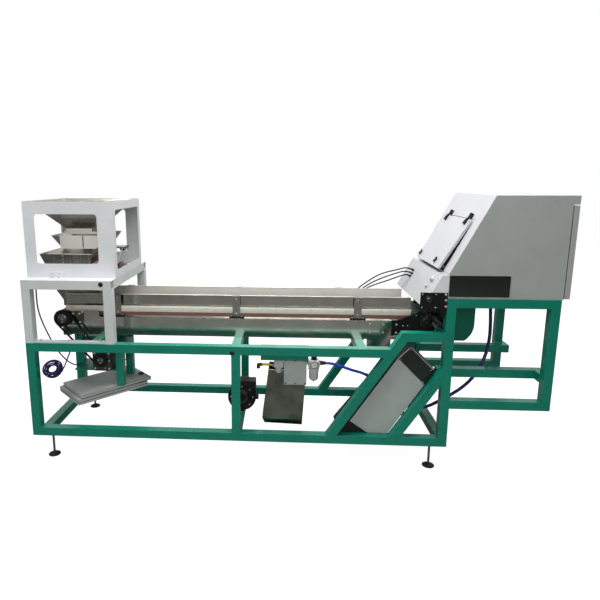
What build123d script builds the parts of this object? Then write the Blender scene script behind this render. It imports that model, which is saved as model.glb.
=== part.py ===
from build123d import *
import math
import os

os.makedirs("parts", exist_ok=True)

# Overall sizes in millimetres. X runs along the belt from the feeding end, Y from the near side, Z up from the floor.
frame_depth = 870.0
tube = 60.0
tube_wall = 3.0
floor_gap = 160.0
base_height = 693.0
raised_rail_height = 810.0
head_stand_height = 1046.0
head_stand_bottom = 281.0
base_length = 2925.0
head_stand_length = 663.0
door_overhang = 50.0
middle_post_x = 1440.0
brace_lean = 0.653
first_brace_x = base_length - 825.5
second_brace_x = base_length - 389.0
cross_beams_x = [440.0, middle_post_x, base_length - 625.0]
bin_rail_rise = 179.0
bin_rail_inset = 130.0
foot_inset_left = 134.0
foot_inset_right = 106.0
foot_disc = 84.0
foot_stem = 16.0

# Feeder stand, hopper and vibrating feeder.
stand_length = 630.0
stand_height = 447.0
deck_sheet = 4.0
base_strip = 12.0
housing_y = 106.0
housing_depth = 640.0
housing_height = 526.0
sheet = 3.0
thin_sheet = 2.0
funnel_outlet_x = [215.0, 405.0]
funnel_outlet_y = [300.0, 550.0]
funnel_drop = 200.0
neck_drop = 30.0
gate_thickness = 4.0
slide_gap = 0.5

# Belt conveyor.
roller_axis_x = 190.0
roller_axis_z = 980.0
tail_roller_radius = 55.0
head_roller_radius = 40.0
head_roller_x = base_length - 130.0
return_roller_radius = 30.0
belt_thickness = 3.0
belt_gap = 0.3
belt_width = 346.0
conveyor_half_width = 205.0
plate_rise = 135.0
skirt_half_gap = 150.0
skirt_height = 105.0
shaft_radius = 12.5
fit = 0.05
drive_pulley_radius = 60.0
motor_pulley_radius = 45.0
motor_x = 455.0
motor_z = 664.0
pulley_width = 24.0

# Sorting cabinet and nose.
cabinet_y = 8.0
cabinet_depth = frame_depth - 78.0
cabinet_left = base_length - 57.0
cabinet_body_right = base_length + head_stand_length + 10.0
cabinet_top = 1874.0
roof_lip = 56.0
slope_low_z = 1372.0
slope_top_x = cabinet_left + 257.0
nose_left = cabinet_left - 158.0
nose_bottom = 1145.0
nose_shelf = 41.8
door_gap = 5.0
door_ajar = 4.0
air_tube = 10.0

mid_y = frame_depth / 2
base_low = floor_gap
base_in = floor_gap + tube
base_top = floor_gap + base_height
raised_top = floor_gap + raised_rail_height
head_top = floor_gap + head_stand_height
head_low = floor_gap + head_stand_bottom
column_x = base_length - tube
head_right = base_length + head_stand_length
machine_length = head_right + door_overhang
brace_span = tube * math.hypot(1, brace_lean)
deck_z = base_top + stand_height
belt_top = roller_axis_z + tail_roller_radius + belt_gap + belt_thickness


def block(x0, x1, y0, y1, z0, z1):
    return Pos((x0 + x1) / 2, (y0 + y1) / 2, (z0 + z1) / 2) * Box(x1 - x0, y1 - y0, z1 - z0)


def prism(points, y0, y1):
    face = make_face(Polyline(*[(x, y0, z) for x, z in points], close=True))
    return extrude(face, amount=y1 - y0, dir=(0, 1, 0))


def hollow_prism(outer, inner, y0, y1, wall=tube_wall):
    return prism(outer, y0, y1) - prism(inner, y0 + wall, y1 - wall)


def tube_x(x0, x1, y0, z0, size=tube, wall=tube_wall):
    bore = block(x0, x1, y0 + wall, y0 + size - wall, z0 + wall, z0 + size - wall)
    return block(x0, x1, y0, y0 + size, z0, z0 + size) - bore


def tube_y(x0, y0, y1, z0, size=tube, wall=tube_wall):
    bore = block(x0 + wall, x0 + size - wall, y0, y1, z0 + wall, z0 + size - wall)
    return block(x0, x0 + size, y0, y1, z0, z0 + size) - bore


def tube_z(x0, y0, z0, z1, size=tube, wall=tube_wall):
    bore = block(x0 + wall, x0 + size - wall, y0 + wall, y0 + size - wall, z0, z1)
    return block(x0, x0 + size, y0, y0 + size, z0, z1) - bore


def rod_y(x, z, radius, y0, y1):
    return Pos(x, (y0 + y1) / 2, z) * Rot(90, 0, 0) * Cylinder(radius, y1 - y0)


def rod_x(y, z, radius, x0, x1):
    return Pos((x0 + x1) / 2, y, z) * Rot(0, 90, 0) * Cylinder(radius, x1 - x0)


def rod_z(x, y, radius, z0, z1):
    return Pos(x, y, (z0 + z1) / 2) * Cylinder(radius, z1 - z0)


def hexagon(x, y, z0, z1, across):
    return Pos(x, y, z0) * extrude(RegularPolygon(across / 2, 6, major_radius=False), amount=z1 - z0)


def mirrored(shape):
    return mirror(shape, about=Plane.XZ.offset(-mid_y))


def both_sides(shape):
    return [shape, mirrored(shape)]


def save(name, *pieces):
    solids = []
    for piece in pieces:
        solids.extend(piece.solids())
    shape = solids[0] if len(solids) == 1 else Compound(solids)
    export_step(Pos(-machine_length / 2, -frame_depth / 2, 0) * shape, "parts/" + name + ".step")


# Side frames: posts, beams, a raised rail at the head end and two slanted braces, all of one square tube.
def brace_x(start, z):
    return start + brace_lean * (z - base_in)


def side_frame():
    top_low = base_top - tube
    reach = 40.0
    post = tube_z(0, 0, base_low, top_low)
    bottom = tube_x(tube, column_x, 0, base_low)
    middle = tube_z(middle_post_x, 0, base_in, top_low)
    column = tube_z(column_x, 0, base_low, head_top)
    beam_outer = [(0, top_low), (brace_x(first_brace_x, top_low), top_low),
                  (brace_x(first_brace_x, base_top), base_top), (0, base_top)]
    beam_inner = [(0, top_low + tube_wall), (brace_x(first_brace_x, base_top) + reach, top_low + tube_wall),
                  (brace_x(first_brace_x, base_top) + reach, base_top - tube_wall), (0, base_top - tube_wall)]
    beam = hollow_prism(beam_outer, beam_inner, 0, tube)
    wall_x = tube_wall * math.hypot(1, brace_lean)
    rail_low = raised_top - tube
    corner_top = (brace_x(first_brace_x, raised_top), raised_top)
    corner_low = (brace_x(first_brace_x + brace_span, rail_low), rail_low)
    first_outer = [(first_brace_x, base_in), (first_brace_x + brace_span, base_in), corner_low, corner_top]
    first_inner = [(brace_x(first_brace_x + wall_x, base_in), base_in),
                   (brace_x(first_brace_x + brace_span - wall_x, base_in), base_in),
                   (brace_x(first_brace_x + brace_span - wall_x, rail_low), rail_low),
                   (brace_x(first_brace_x + wall_x, raised_top - tube_wall * 2), raised_top - tube_wall * 2)]
    first = hollow_prism(first_outer, first_inner, 0, tube)
    rail_outer = [corner_top, corner_low, (column_x, rail_low), (column_x, raised_top)]
    rail_inner = [(corner_low[0] + tube_wall, rail_low + tube_wall), (column_x, rail_low + tube_wall),
                  (column_x, raised_top - tube_wall), (corner_low[0] + tube_wall, raised_top - tube_wall)]
    rail = hollow_prism(rail_outer, rail_inner, 0, tube)
    second_far = second_brace_x + brace_span
    second_outer = [(second_brace_x, base_in), (second_far, base_in),
                    (column_x, base_in + (column_x - second_far) / brace_lean),
                    (column_x, base_in + (column_x - second_brace_x) / brace_lean)]
    second_inner = [(second_brace_x + wall_x, base_in), (second_far - wall_x, base_in),
                    (column_x, base_in + (column_x - second_far + wall_x) / brace_lean),
                    (column_x, base_in + (column_x - second_brace_x - wall_x) / brace_lean)]
    second = hollow_prism(second_outer, second_inner, 0, tube)
    return [post, bottom, middle, column, beam, first, rail, second]


near_frame = side_frame()
save("near_side_frame", *near_frame)
save("far_side_frame", *[mirrored(piece) for piece in near_frame])

# Head stand: the overhanging frame under the cabinet, with two inner rails that carry the product bins.
stand_top = tube_x(base_length, head_right, 0, head_top - tube)
stand_leg = tube_z(head_right - tube, 0, head_low, head_top - tube)
stand_low = tube_x(base_length, head_right - tube, 0, head_low)
rail_z = head_low + bin_rail_rise
bin_rail = tube_x(column_x, head_right, bin_rail_inset, rail_z)
stub_right = tube_y(head_right - tube, tube, bin_rail_inset, rail_z)
stub_left = tube_y(column_x, tube, bin_rail_inset, rail_z)
side_pieces = [stand_top, stand_leg, stand_low, bin_rail, stub_right, stub_left]
inner_far = frame_depth - tube
head_cross = [tube_y(base_length, tube, inner_far, head_top - tube),
              tube_y(head_right - tube, tube, inner_far, head_top - tube)]
save("head_stand", *side_pieces, *[mirrored(piece) for piece in side_pieces], *head_cross)

# Cross members tie the two side frames together; three of them carry the conveyor.
cross = [tube_y(tube, tube, inner_far, base_low), tube_y(middle_post_x, tube, inner_far, base_low)]
cross.append(tube_y(column_x, tube, inner_far, base_low))
cross.append(tube_y(column_x, tube, inner_far, raised_top - tube))
for place in cross_beams_x:
    cross.append(tube_y(place, tube, inner_far, base_top - tube))
# Hanger for the motor and the two flat plates: a tail post under a tie bar, two arms and two short hangers.
hanger = 56.0
hanger_x = 548.0
plate_top = 450.0
arm_z = base_top - 148.0
post_x = 172.0
post_y = 420.0
tie = 8.0
side_y = mid_y - conveyor_half_width
cross.append(tube_z(post_x, post_y, plate_top - 71, base_top - tie))
cross.append(block(post_x, post_x + tube, side_y, frame_depth - side_y, base_top - tie, base_top))
near_hanger_y = 245.0
far_hanger_y = 480.0
cross.append(tube_z(hanger_x, near_hanger_y, plate_top, arm_z + hanger, size=hanger))
cross.append(tube_z(hanger_x, far_hanger_y, plate_top, arm_z + hanger, size=hanger))
cross.append(tube_x(post_x + tube, hanger_x, far_hanger_y - 4, arm_z, size=hanger))
cross.append(tube_y(hanger_x, near_hanger_y + hanger, far_hanger_y, arm_z, size=hanger))
motor_plate_z = 575.0
cross.append(block(post_x + tube, hanger_x, near_hanger_y, far_hanger_y, motor_plate_z - 8, motor_plate_z))
cross.append(block(post_x, post_x + tube, post_y - 110, post_y, plate_top - 71, plate_top - 65))
# Angle behind the near top beam that carries the air service units.
service_x = [middle_post_x + 200, middle_post_x + 530]
service_z = 740.0
service_reach = 240.0
cross.append(block(service_x[0], service_x[1], tube, tube + 6, service_z + 6, base_top))
cross.append(block(service_x[0], service_x[1], tube, service_reach, service_z, service_z + 6))
save("cross_members", *cross)

# Two flat plates hang, turned about the vertical, under the tail.
flat_x = 437.0
flat_y = 364.0
flat_skin = 3.0


def flat_panel(x, y, top, length, width, height):
    inside = Box(length - 2 * flat_skin, width - 2 * flat_skin, height - 2 * flat_skin)
    return Pos(x, y, top - height / 2) * Rot(0, 0, 45) * (Box(length, width, height) - inside)


upper_plate = flat_panel(flat_x, flat_y, plate_top, 565, 340, 25)
lower_plate = flat_panel(flat_x - 22, flat_y - 22, plate_top - 25, 555, 350, 40)
save("hung_plates", upper_plate, lower_plate)

# Levelling feet: a domed disc on a threaded stem, held by a lock nut under the beam.
feet = []
foot_places = []
for fx in (foot_inset_left, base_length - foot_inset_right):
    for fy in (tube / 2, frame_depth - tube / 2):
        foot_places.append((fx, fy))
for fx, fy in foot_places:
    profile = Polyline((0, 0), (foot_disc / 2, 0), (foot_disc / 2, 6), (foot_stem, 16), (foot_stem / 2, 22), (0, 22),
                       close=True)
    disc = revolve(make_face(Plane.XZ * profile), Axis.Z)
    feet.append(Pos(fx, fy, 0) * disc + rod_z(fx, fy, foot_stem / 2, 20, base_low))
    nut = hexagon(fx, fy, base_low - 13, base_low, foot_stem * 1.5)
    feet.append(nut - rod_z(fx, fy, foot_stem / 2, base_low - 13, base_low))
save("levelling_feet", *feet)

# Feeder stand: four legs on the base frame, a top frame and two bolted foot strips; a deck with a chute opening.
leg_top = deck_z - deck_sheet - tube
stand = []
for lx in (0, stand_length - tube):
    for ly in (0, frame_depth - tube):
        stand.append(tube_z(lx, ly, base_top, leg_top))
    stand.append(tube_y(lx, tube, inner_far, leg_top))
for ly in (0, frame_depth - tube):
    stand.append(tube_x(0, stand_length, ly, leg_top))
chute_x = [112.0, 338.0]
chute_y = [300.0, 570.0]
deck = block(0, stand_length, 0, frame_depth, deck_z - deck_sheet, deck_z)
deck -= block(chute_x[0], chute_x[1], chute_y[0], chute_y[1], deck_z - deck_sheet, deck_z)
save("feeder_deck", deck)
strip = block(tube, stand_length - tube, 8, tube - 8, base_top, base_top + base_strip)
stand.extend(both_sides(strip))
save("feeder_stand", *stand)

# Hexagon bolts through the foot strips, and cap bolts at the head end of the conveyor's side plates.
bolts = []
for bx in (100.0, 300.0, 525.0):
    for by in (tube / 2, frame_depth - tube / 2):
        bolts.append(hexagon(bx, by, base_top + base_strip, base_top + base_strip + 8, 19))
web_y = mid_y - conveyor_half_width
plate_low = base_top
plate_high = base_top + plate_rise
web_bolts_x = [base_length - 517, base_length - 423, base_length - 331]
for bx in web_bolts_x:
    for bz in (plate_low + 50, plate_high - 25):
        bolts.extend(both_sides(rod_y(bx, bz, 9, web_y - 6, web_y)))
save("frame_bolts", *bolts)

# Hopper housing: a folded sheet box, open at the top, with a window in each side.
house_y1 = housing_y + housing_depth
house_top = deck_z + housing_height
house = block(0, stand_length, housing_y, house_y1, deck_z, house_top)
flange = 20.0
house -= block(sheet, stand_length - sheet, housing_y + sheet, house_y1 - sheet, deck_z + sheet, house_top - sheet)
house -= block(flange, stand_length - flange, housing_y + flange, house_y1 - flange, house_top - sheet, house_top)
house -= block(40, stand_length - 40, housing_y + 40, house_y1 - 40, deck_z, deck_z + sheet)
window_z = [deck_z + 98, house_top - 86]
near_window = block(77, 516, housing_y - 1, house_y1 + 1, window_z[0], window_z[1])
window_edges = near_window.edges().filter_by(Axis.Y)
house -= fillet(window_edges, 22)
side_window = block(-1, stand_length + 1, housing_y + 50, house_y1 - 50, deck_z + 52, house_top - 60)
house -= fillet(side_window.edges().filter_by(Axis.X), 14)
save("hopper_housing", house)

# Hopper funnel: a rim that lies on the housing's top flange, four sloping walls, a neck and two gate guides.
rim_z = house_top
outlet_z = rim_z - funnel_drop
neck_z = outlet_z - neck_drop
ox = funnel_outlet_x
oy = funnel_outlet_y


def rectangle_at(x0, x1, y0, y1, z):
    return Pos((x0 + x1) / 2, (y0 + y1) / 2, z) * Rectangle(x1 - x0, y1 - y0)


mouth_x = [flange + 4, stand_length - flange - 4]
mouth_y = [housing_y + flange + 4, house_y1 - flange - 4]
cone = loft([rectangle_at(mouth_x[0], mouth_x[1], mouth_y[0], mouth_y[1], rim_z),
             rectangle_at(ox[0], ox[1], oy[0], oy[1], outlet_z)])
skin = thin_sheet * 1.45
hollow = loft([rectangle_at(mouth_x[0] + skin, mouth_x[1] - skin, mouth_y[0] + skin, mouth_y[1] - skin, rim_z),
               rectangle_at(ox[0] + thin_sheet, ox[1] - thin_sheet, oy[0] + thin_sheet, oy[1] - thin_sheet, outlet_z)])
funnel = cone - hollow
neck = block(ox[0], ox[1], oy[0], oy[1], neck_z, outlet_z)
funnel += neck - block(ox[0] + thin_sheet, ox[1] - thin_sheet, oy[0] + thin_sheet, oy[1] - thin_sheet, neck_z, outlet_z)
rim = block(4, stand_length - 4, housing_y + 4, house_y1 - 4, rim_z, rim_z + thin_sheet)
funnel += rim - block(mouth_x[0] + skin, mouth_x[1] - skin, mouth_y[0] + skin, mouth_y[1] - skin, rim_z, rim_z + 2)
gate_high = neck_z - slide_gap
gate_low = gate_high - gate_thickness
guide_x = [ox[0] - 10, ox[1] + 60]
for edge_y, sign in ((oy[0], -1), (oy[1], 1)):
    outer_y = edge_y + sign * 16
    inner_y = edge_y - sign * 6
    wall_y = edge_y + sign * 8
    ends = sorted((outer_y, inner_y))
    guide = block(guide_x[0], guide_x[1], ends[0], ends[1], gate_low - slide_gap - 4, gate_low - slide_gap)
    ends = sorted((outer_y, wall_y))
    guide += block(guide_x[0], guide_x[1], ends[0], ends[1], gate_low - slide_gap, neck_z + 10)
    ends = sorted((outer_y, edge_y))
    guide += block(guide_x[0], ox[1], ends[0], ends[1], neck_z, neck_z + 10)
    funnel += guide
save("hopper_funnel", funnel)

# Outlet gate: a flat slide under the neck with a black knob on a tab at its pulling end.
gate_x = [ox[0] - 4, ox[1] + 40]
gate_y = [oy[0] - 8 + slide_gap, oy[1] + 8 - slide_gap]
gate = block(gate_x[0], gate_x[1], gate_y[0], gate_y[1], gate_low, gate_high)
tab_x = gate_x[1]
tab_y = gate_y[0] + 30
gate += block(tab_x - 4, tab_x, tab_y - 16, tab_y + 16, gate_high, gate_high + 30)
save("gate_slide", gate)
knob_axis = gate_high + 17
knob = rod_x(tab_y, knob_axis, 6, tab_x, tab_x + 10) + rod_x(tab_y, knob_axis, 14, tab_x + 10, tab_x + 30)
save("gate_knob", knob)

# Vibrating feeder: an upper tray under the gate and a lower spreader tray, tied by two side straps.
tray_y = [242.0, 608.0]
tray_low = deck_z + 186
tray_high = neck_z - 16
upper_shape = [(205, tray_low), (452, tray_low), (524, tray_high), (126, tray_high)]
ts = thin_sheet
upper_inside = [(205 + ts, tray_low + ts), (452 - ts, tray_low + ts), (524 - ts, tray_high), (126 + ts, tray_high)]
feed_tray = prism(upper_shape, tray_y[0], tray_y[1]) - prism(upper_inside, tray_y[0] + ts, tray_y[1] - ts)
feed_tray -= prism([(100, tray_low + ts), (190, tray_low + ts), (190, tray_high), (100, tray_high)],
                   tray_y[0], tray_y[0] + ts)
feed_tray -= prism([(470, tray_low + ts), (540, tray_low + ts), (540, tray_high), (470, tray_high)],
                   tray_y[0], tray_y[0] + ts)
feed_tray -= block(222, 322, tray_y[0] + 20, tray_y[1] - 20, tray_low, tray_low + ts)
spread_y = [205.0, 645.0]
spread_low = deck_z + 82
spread_high = spread_low + 70
spread_shape = [(84, spread_low), (420, spread_low), (430, spread_high), (48, spread_high)]
spread_inside = [(84 + ts, spread_low + ts), (420 - ts, spread_low + ts), (430 - ts, spread_high),
                 (48 + ts, spread_high)]
spreader = prism(spread_shape, spread_y[0], spread_y[1]) - prism(spread_inside, spread_y[0] + ts, spread_y[1] - ts)
spreader -= block(128, 240, chute_y[0] + 20, chute_y[1] - 20, spread_low, spread_low + ts)
strap_x = [340.0, 400.0]
for sy in (tray_y[0] + 40, tray_y[1] - 48):
    spreader += block(strap_x[0], strap_x[1], sy, sy + 8, spread_low, tray_low)
bracket_z = spread_low + 24
arm_half = 60.0
arm_thick = 10.0
arm_x = [spread_shape[1][0] + 2.5, spread_shape[1][0] + 52, spread_shape[1][0] + 192]
arm_low = tray_low - 2 - arm_thick
spreader += block(arm_x[0], arm_x[1], mid_y - arm_half, mid_y + arm_half, bracket_z, bracket_z + arm_thick)
spreader += block(arm_x[1] - arm_thick, arm_x[1], mid_y - arm_half, mid_y + arm_half, bracket_z, arm_low)
spreader += block(arm_x[1] - arm_thick, arm_x[2], mid_y - arm_half, mid_y + arm_half, arm_low, arm_low + arm_thick)
save("feed_tray", feed_tray)
save("spreader_tray", spreader)

# Drive of the feeder: a block on the deck with the coil beside it and slanted leaf springs up to the tray's bracket.
base_block_x = [455.0, 590.0]
base_block_top = deck_z + 40
vibrator_base = block(base_block_x[0], base_block_x[1], mid_y - 70, mid_y + 70, deck_z + 12, base_block_top)
for px in (475.0, 570.0):
    for py in (mid_y - 55, mid_y + 55):
        vibrator_base += rod_z(px, py, 11, deck_z, deck_z + 12)
save("vibrator_base", vibrator_base)
coil_gap = 6.0
coil_top = bracket_z - coil_gap
magnet = block(440, 500, mid_y - 32, mid_y + 32, base_block_top, coil_top)
save("magnet_coil", magnet)
springs = []
spring_lean = 56.0
spring_x = 538.0
spring_width = 54.0
spring_leaf = 6.0
spring_gap = 0.4
spring_top = arm_low - spring_gap
for sy in (mid_y - arm_half, mid_y + arm_half - spring_width):
    points = [(spring_x, base_block_top), (spring_x + spring_leaf, base_block_top),
              (spring_x + spring_leaf + spring_lean, spring_top), (spring_x + spring_lean, spring_top)]
    springs.append(prism(points, sy, sy + spring_width))
save("leaf_springs", *springs)

# Feed chute: an open sheet funnel from the deck down between the skirts to just above the belt.
chute_mid = 1165.0
chute_low = belt_top + 14
low_x = [158.0, 330.0]
chute = block(chute_x[0], chute_x[1], chute_y[0], chute_y[1], chute_mid, deck_z)
chute -= block(chute_x[0] + ts, chute_x[1] - ts, chute_y[0] + ts, chute_y[1] - ts, chute_mid, deck_z)
neck_mid = chute_mid - 70
outer = loft([rectangle_at(chute_x[0], chute_x[1], chute_y[0], chute_y[1], chute_mid),
              rectangle_at(low_x[0], low_x[1], chute_y[0] + 4, chute_y[1] - 4, neck_mid)])
inner = loft([rectangle_at(chute_x[0] + ts, chute_x[1] - ts, chute_y[0] + ts, chute_y[1] - ts, chute_mid),
              rectangle_at(low_x[0] + ts, low_x[1] - ts, chute_y[0] + 4 + ts, chute_y[1] - 4 - ts, neck_mid)])
chute += outer - inner
spout = block(low_x[0], low_x[1], chute_y[0] + 4, chute_y[1] - 4, chute_low, neck_mid)
chute += spout - block(low_x[0] + ts, low_x[1] - ts, chute_y[0] + 4 + ts, chute_y[1] - 4 - ts, chute_low, neck_mid)
lip = block(chute_x[0] - 24, chute_x[1] + 24, chute_y[0] - 24, chute_y[1] + 24, deck_z, deck_z + ts)
chute += lip - block(chute_x[0] + ts, chute_x[1] - ts, chute_y[0] + ts, chute_y[1] - ts, deck_z, deck_z + ts)
save("feed_chute", chute)

# Conveyor: two folded side plates on the cross beams, higher at the tail where the drive roller's bearings sit.
flange_in = skirt_half_gap + 2
tail_x0 = 172.0
web_end = base_length - 285
belly_x = [base_length - 535, base_length - 365]


def conveyor_side():
    web = block(tail_x0, web_end, web_y, web_y + sheet, plate_low, plate_high)
    web += block(tail_x0, 450, web_y, web_y + sheet, plate_high, plate_high + 47)
    web += block(460, web_end, web_y, mid_y - flange_in, plate_high - sheet, plate_high)
    web += block(tail_x0, web_end, web_y, mid_y - flange_in, plate_low, plate_low + sheet)
    web += block(belly_x[0], belly_x[1], web_y, web_y + sheet, plate_low - 55, plate_low)
    return web - rod_y(roller_axis_x, roller_axis_z, shaft_radius + 3, web_y - 1, web_y + sheet + 1)


save("conveyor_sides", *both_sides(conveyor_side()))

# Slider bed under the carrying run, on two webs that stand on the side plates' top flanges.
bed_half = belt_width / 2 - 2
bed_x = [262.0, web_end]
bed_top = belt_top - belt_thickness - belt_gap - 1
bed = block(bed_x[0], bed_x[1], mid_y - bed_half, mid_y + bed_half, bed_top - sheet, bed_top)
for wy in (mid_y - bed_half, mid_y + bed_half - sheet):
    bed += block(470, web_end, wy, wy + sheet, plate_high, bed_top)
save("slider_bed", bed)


# Endless band round two circles: straight runs along the common tangents, half arcs on the circles.
def band(x1, z1, r1, x2, z2, r2, y0, y1):
    length = math.hypot(x2 - x1, z2 - z1)
    heading = math.atan2(z2 - z1, x2 - x1)
    spread = math.acos((r1 - r2) / length)

    def at(x, z, r, angle):
        return (x + r * math.cos(angle), y0, z + r * math.sin(angle))

    up = heading + spread
    down = heading - spread
    a1 = at(x1, z1, r1, up)
    b1 = at(x2, z2, r2, up)
    a2 = at(x1, z1, r1, down)
    b2 = at(x2, z2, r2, down)
    run_1 = Line(a1, b1)
    arc_2 = ThreePointArc(b1, at(x2, z2, r2, heading), b2)
    run_2 = Line(b2, a2)
    arc_1 = ThreePointArc(a2, at(x1, z1, r1, heading + math.pi), a1)
    face = make_face([run_1, arc_2, run_2, arc_1])
    return extrude(face, amount=y1 - y0, dir=(0, 1, 0))


def endless(x1, z1, r1, x2, z2, r2, thickness, y0, y1):
    outside = band(x1, z1, r1 + thickness, x2, z2, r2 + thickness, y0, y1)
    return outside - band(x1, z1, r1, x2, z2, r2, y0, y1)


head_roller_z = roller_axis_z + tail_roller_radius - head_roller_radius
belt_y = [mid_y - belt_width / 2, mid_y + belt_width / 2]
belt = endless(roller_axis_x, roller_axis_z, tail_roller_radius + belt_gap, head_roller_x, head_roller_z,
               head_roller_radius + belt_gap, belt_thickness, belt_y[0], belt_y[1])
save("belt", belt)

# Rollers with shafts that run in bearing blocks on the side plates.
roller_half = conveyor_half_width - 8
block_thick = 18.0
pulley_y1 = web_y - block_thick - 4
pulley_y0 = pulley_y1 - pulley_width
drive_roller = rod_y(roller_axis_x, roller_axis_z, tail_roller_radius, mid_y - roller_half, mid_y + roller_half)
drive_roller += rod_y(roller_axis_x, roller_axis_z, shaft_radius, pulley_y0 - 6, frame_depth - web_y + block_thick)
save("drive_roller", drive_roller)
head_roller = rod_y(head_roller_x, head_roller_z, head_roller_radius, mid_y - roller_half, mid_y + roller_half)
head_roller += rod_y(head_roller_x, head_roller_z, shaft_radius, web_y - 6 - block_thick,
                     frame_depth - web_y + 6 + block_thick)
save("head_roller", head_roller)
return_x = middle_post_x + 160
share = (return_x - roller_axis_x) / (head_roller_x - roller_axis_x)
low_tail = roller_axis_z - tail_roller_radius
low_head = head_roller_z - head_roller_radius
run_low = low_tail + (low_head - low_tail) * share - belt_gap - belt_thickness
return_z = run_low - 0.6 - return_roller_radius
return_roller = rod_y(return_x, return_z, return_roller_radius, mid_y - roller_half, mid_y + roller_half)
stub_reach = conveyor_half_width - sheet - 1
return_roller += rod_y(return_x, return_z, shaft_radius - 4, mid_y - stub_reach, mid_y + stub_reach)
save("return_roller", return_roller)

# Bearing blocks: take-up plates at the tail, square blocks at the head and small sockets for the return roller.
blocks = []
tail_block = block(tail_x0 - 36, 330, web_y - block_thick, web_y, roller_axis_z - 52, roller_axis_z + 52)
tail_block = fillet(tail_block.edges().filter_by(Axis.Y), 24)
blocks.extend(both_sides(tail_block - rod_y(roller_axis_x, roller_axis_z, shaft_radius + fit, 0, web_y)))
head_y = web_y - 6
head_block = block(head_roller_x - 42, head_roller_x + 42, head_y - block_thick, head_y,
                   head_roller_z - 42, head_roller_z + 42)
head_block = fillet(head_block.edges().filter_by(Axis.Y), 16)
blocks.extend(both_sides(head_block - rod_y(head_roller_x, head_roller_z, shaft_radius + fit, 0, head_y)))
socket = rod_y(return_x, return_z, 20, web_y + sheet, web_y + sheet + 4.5)
socket -= rod_y(return_x, return_z, shaft_radius - 4 + fit, web_y, web_y + 20)
blocks.extend(both_sides(socket))
save("bearing_blocks", *blocks)

# Black head plates that carry the head roller past the end of the side plates.
head_outline = [(belly_x[1], plate_low + 30), (belly_x[1], plate_high + 8), (belly_x[1] + 53, plate_high + 8),
                (column_x - 96, plate_high + 84), (column_x - 59, plate_high + 36), (column_x - 4, plate_low + 90),
                (column_x - 4, plate_low + 68)]
head_plate = prism(head_outline, web_y - 6, web_y)
head_plate -= rod_y(head_roller_x, head_roller_z, shaft_radius + 3, web_y - 7, web_y + 1)
for bz in (plate_low + 50, plate_high - 25):
    head_plate -= rod_y(web_bolts_x[2], bz, 9, web_y - 7, web_y + 1)
save("head_plates", *both_sides(head_plate))

# Skirts: slotted stainless sheets on both sides of the belt with an outward foot flange.
skirt_low = belt_top + 7
skirt_high = skirt_low + skirt_height
skirt_x = [roller_axis_x, base_length - 225]
skirt_y = mid_y - skirt_half_gap
skirt = block(skirt_x[0], skirt_x[1], skirt_y - ts, skirt_y, skirt_low, skirt_high)
skirt += block(skirt_x[0], skirt_x[1], skirt_y - 30, skirt_y, skirt_low, skirt_low + ts)
slot_length = 150.0
slot_step = 262.0
first_slot = skirt_x[0] + 140
slot_count = int((skirt_x[1] - first_slot - slot_length) / slot_step) + 1
for k in range(slot_count):
    slot_x = first_slot + k * slot_step
    skirt -= block(slot_x, slot_x + slot_length, skirt_y - ts, skirt_y, skirt_low + 12, skirt_low + 28)
save("skirts", *both_sides(skirt))

# Brackets hold each skirt; each stands in a black foot clamped to the side plate's top flange.
near_brackets = [555.0, middle_post_x - 13, base_length - 629]
far_brackets = [555.0, middle_post_x - 13, base_length - 729]
bracket_width = 54.0
foot_high = plate_high + 15


def skirt_bracket(x):
    bracket = block(x, x + bracket_width, skirt_y - ts - 30 - ts, skirt_y - ts - 30, foot_high, skirt_high)
    return bracket + block(x, x + bracket_width, skirt_y - ts - 30, skirt_y - ts, skirt_high - ts, skirt_high)


def skirt_foot(x):
    return block(x - 24, x + bracket_width + 28, web_y + 4, mid_y - bed_half, plate_high, foot_high)


brackets = [skirt_bracket(x) for x in near_brackets] + [mirrored(skirt_bracket(x)) for x in far_brackets]
feet_blocks = [skirt_foot(x) for x in near_brackets] + [mirrored(skirt_foot(x)) for x in far_brackets]
save("skirt_brackets", *brackets)
save("skirt_feet", *feet_blocks)


# Grooved pulleys of the drive and the wedge belt between them.
def pulley(x, z, radius, bore):
    half = pulley_width / 2
    groove = 9.0
    profile = Polyline((0, -half), (radius, -half), (radius, -7), (radius - groove, -4), (radius - groove, 4),
                       (radius, 7), (radius, half), (0, half), close=True)
    body = revolve(make_face(Plane.XY * profile), Axis.Y)
    body = Pos(x, (pulley_y0 + pulley_y1) / 2, z) * body
    return body - rod_y(x, z, bore, pulley_y0, pulley_y1)


save("drive_pulley", pulley(roller_axis_x, roller_axis_z, drive_pulley_radius, shaft_radius))
motor_shaft = 11.0
motor_front = pulley_y1 + 10
motor_wheel = pulley(motor_x, motor_z, motor_pulley_radius, motor_shaft)
motor_wheel += rod_y(motor_x, motor_z, motor_shaft, pulley_y0 - 4, motor_front + 30)
save("motor_pulley", motor_wheel)
v_middle = (pulley_y0 + pulley_y1) / 2
wedge = endless(roller_axis_x, roller_axis_z, drive_pulley_radius - 4, motor_x, motor_z, motor_pulley_radius - 4, 7,
                v_middle - 5.2, v_middle + 5.2)
save("v_belt", wedge)

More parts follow.
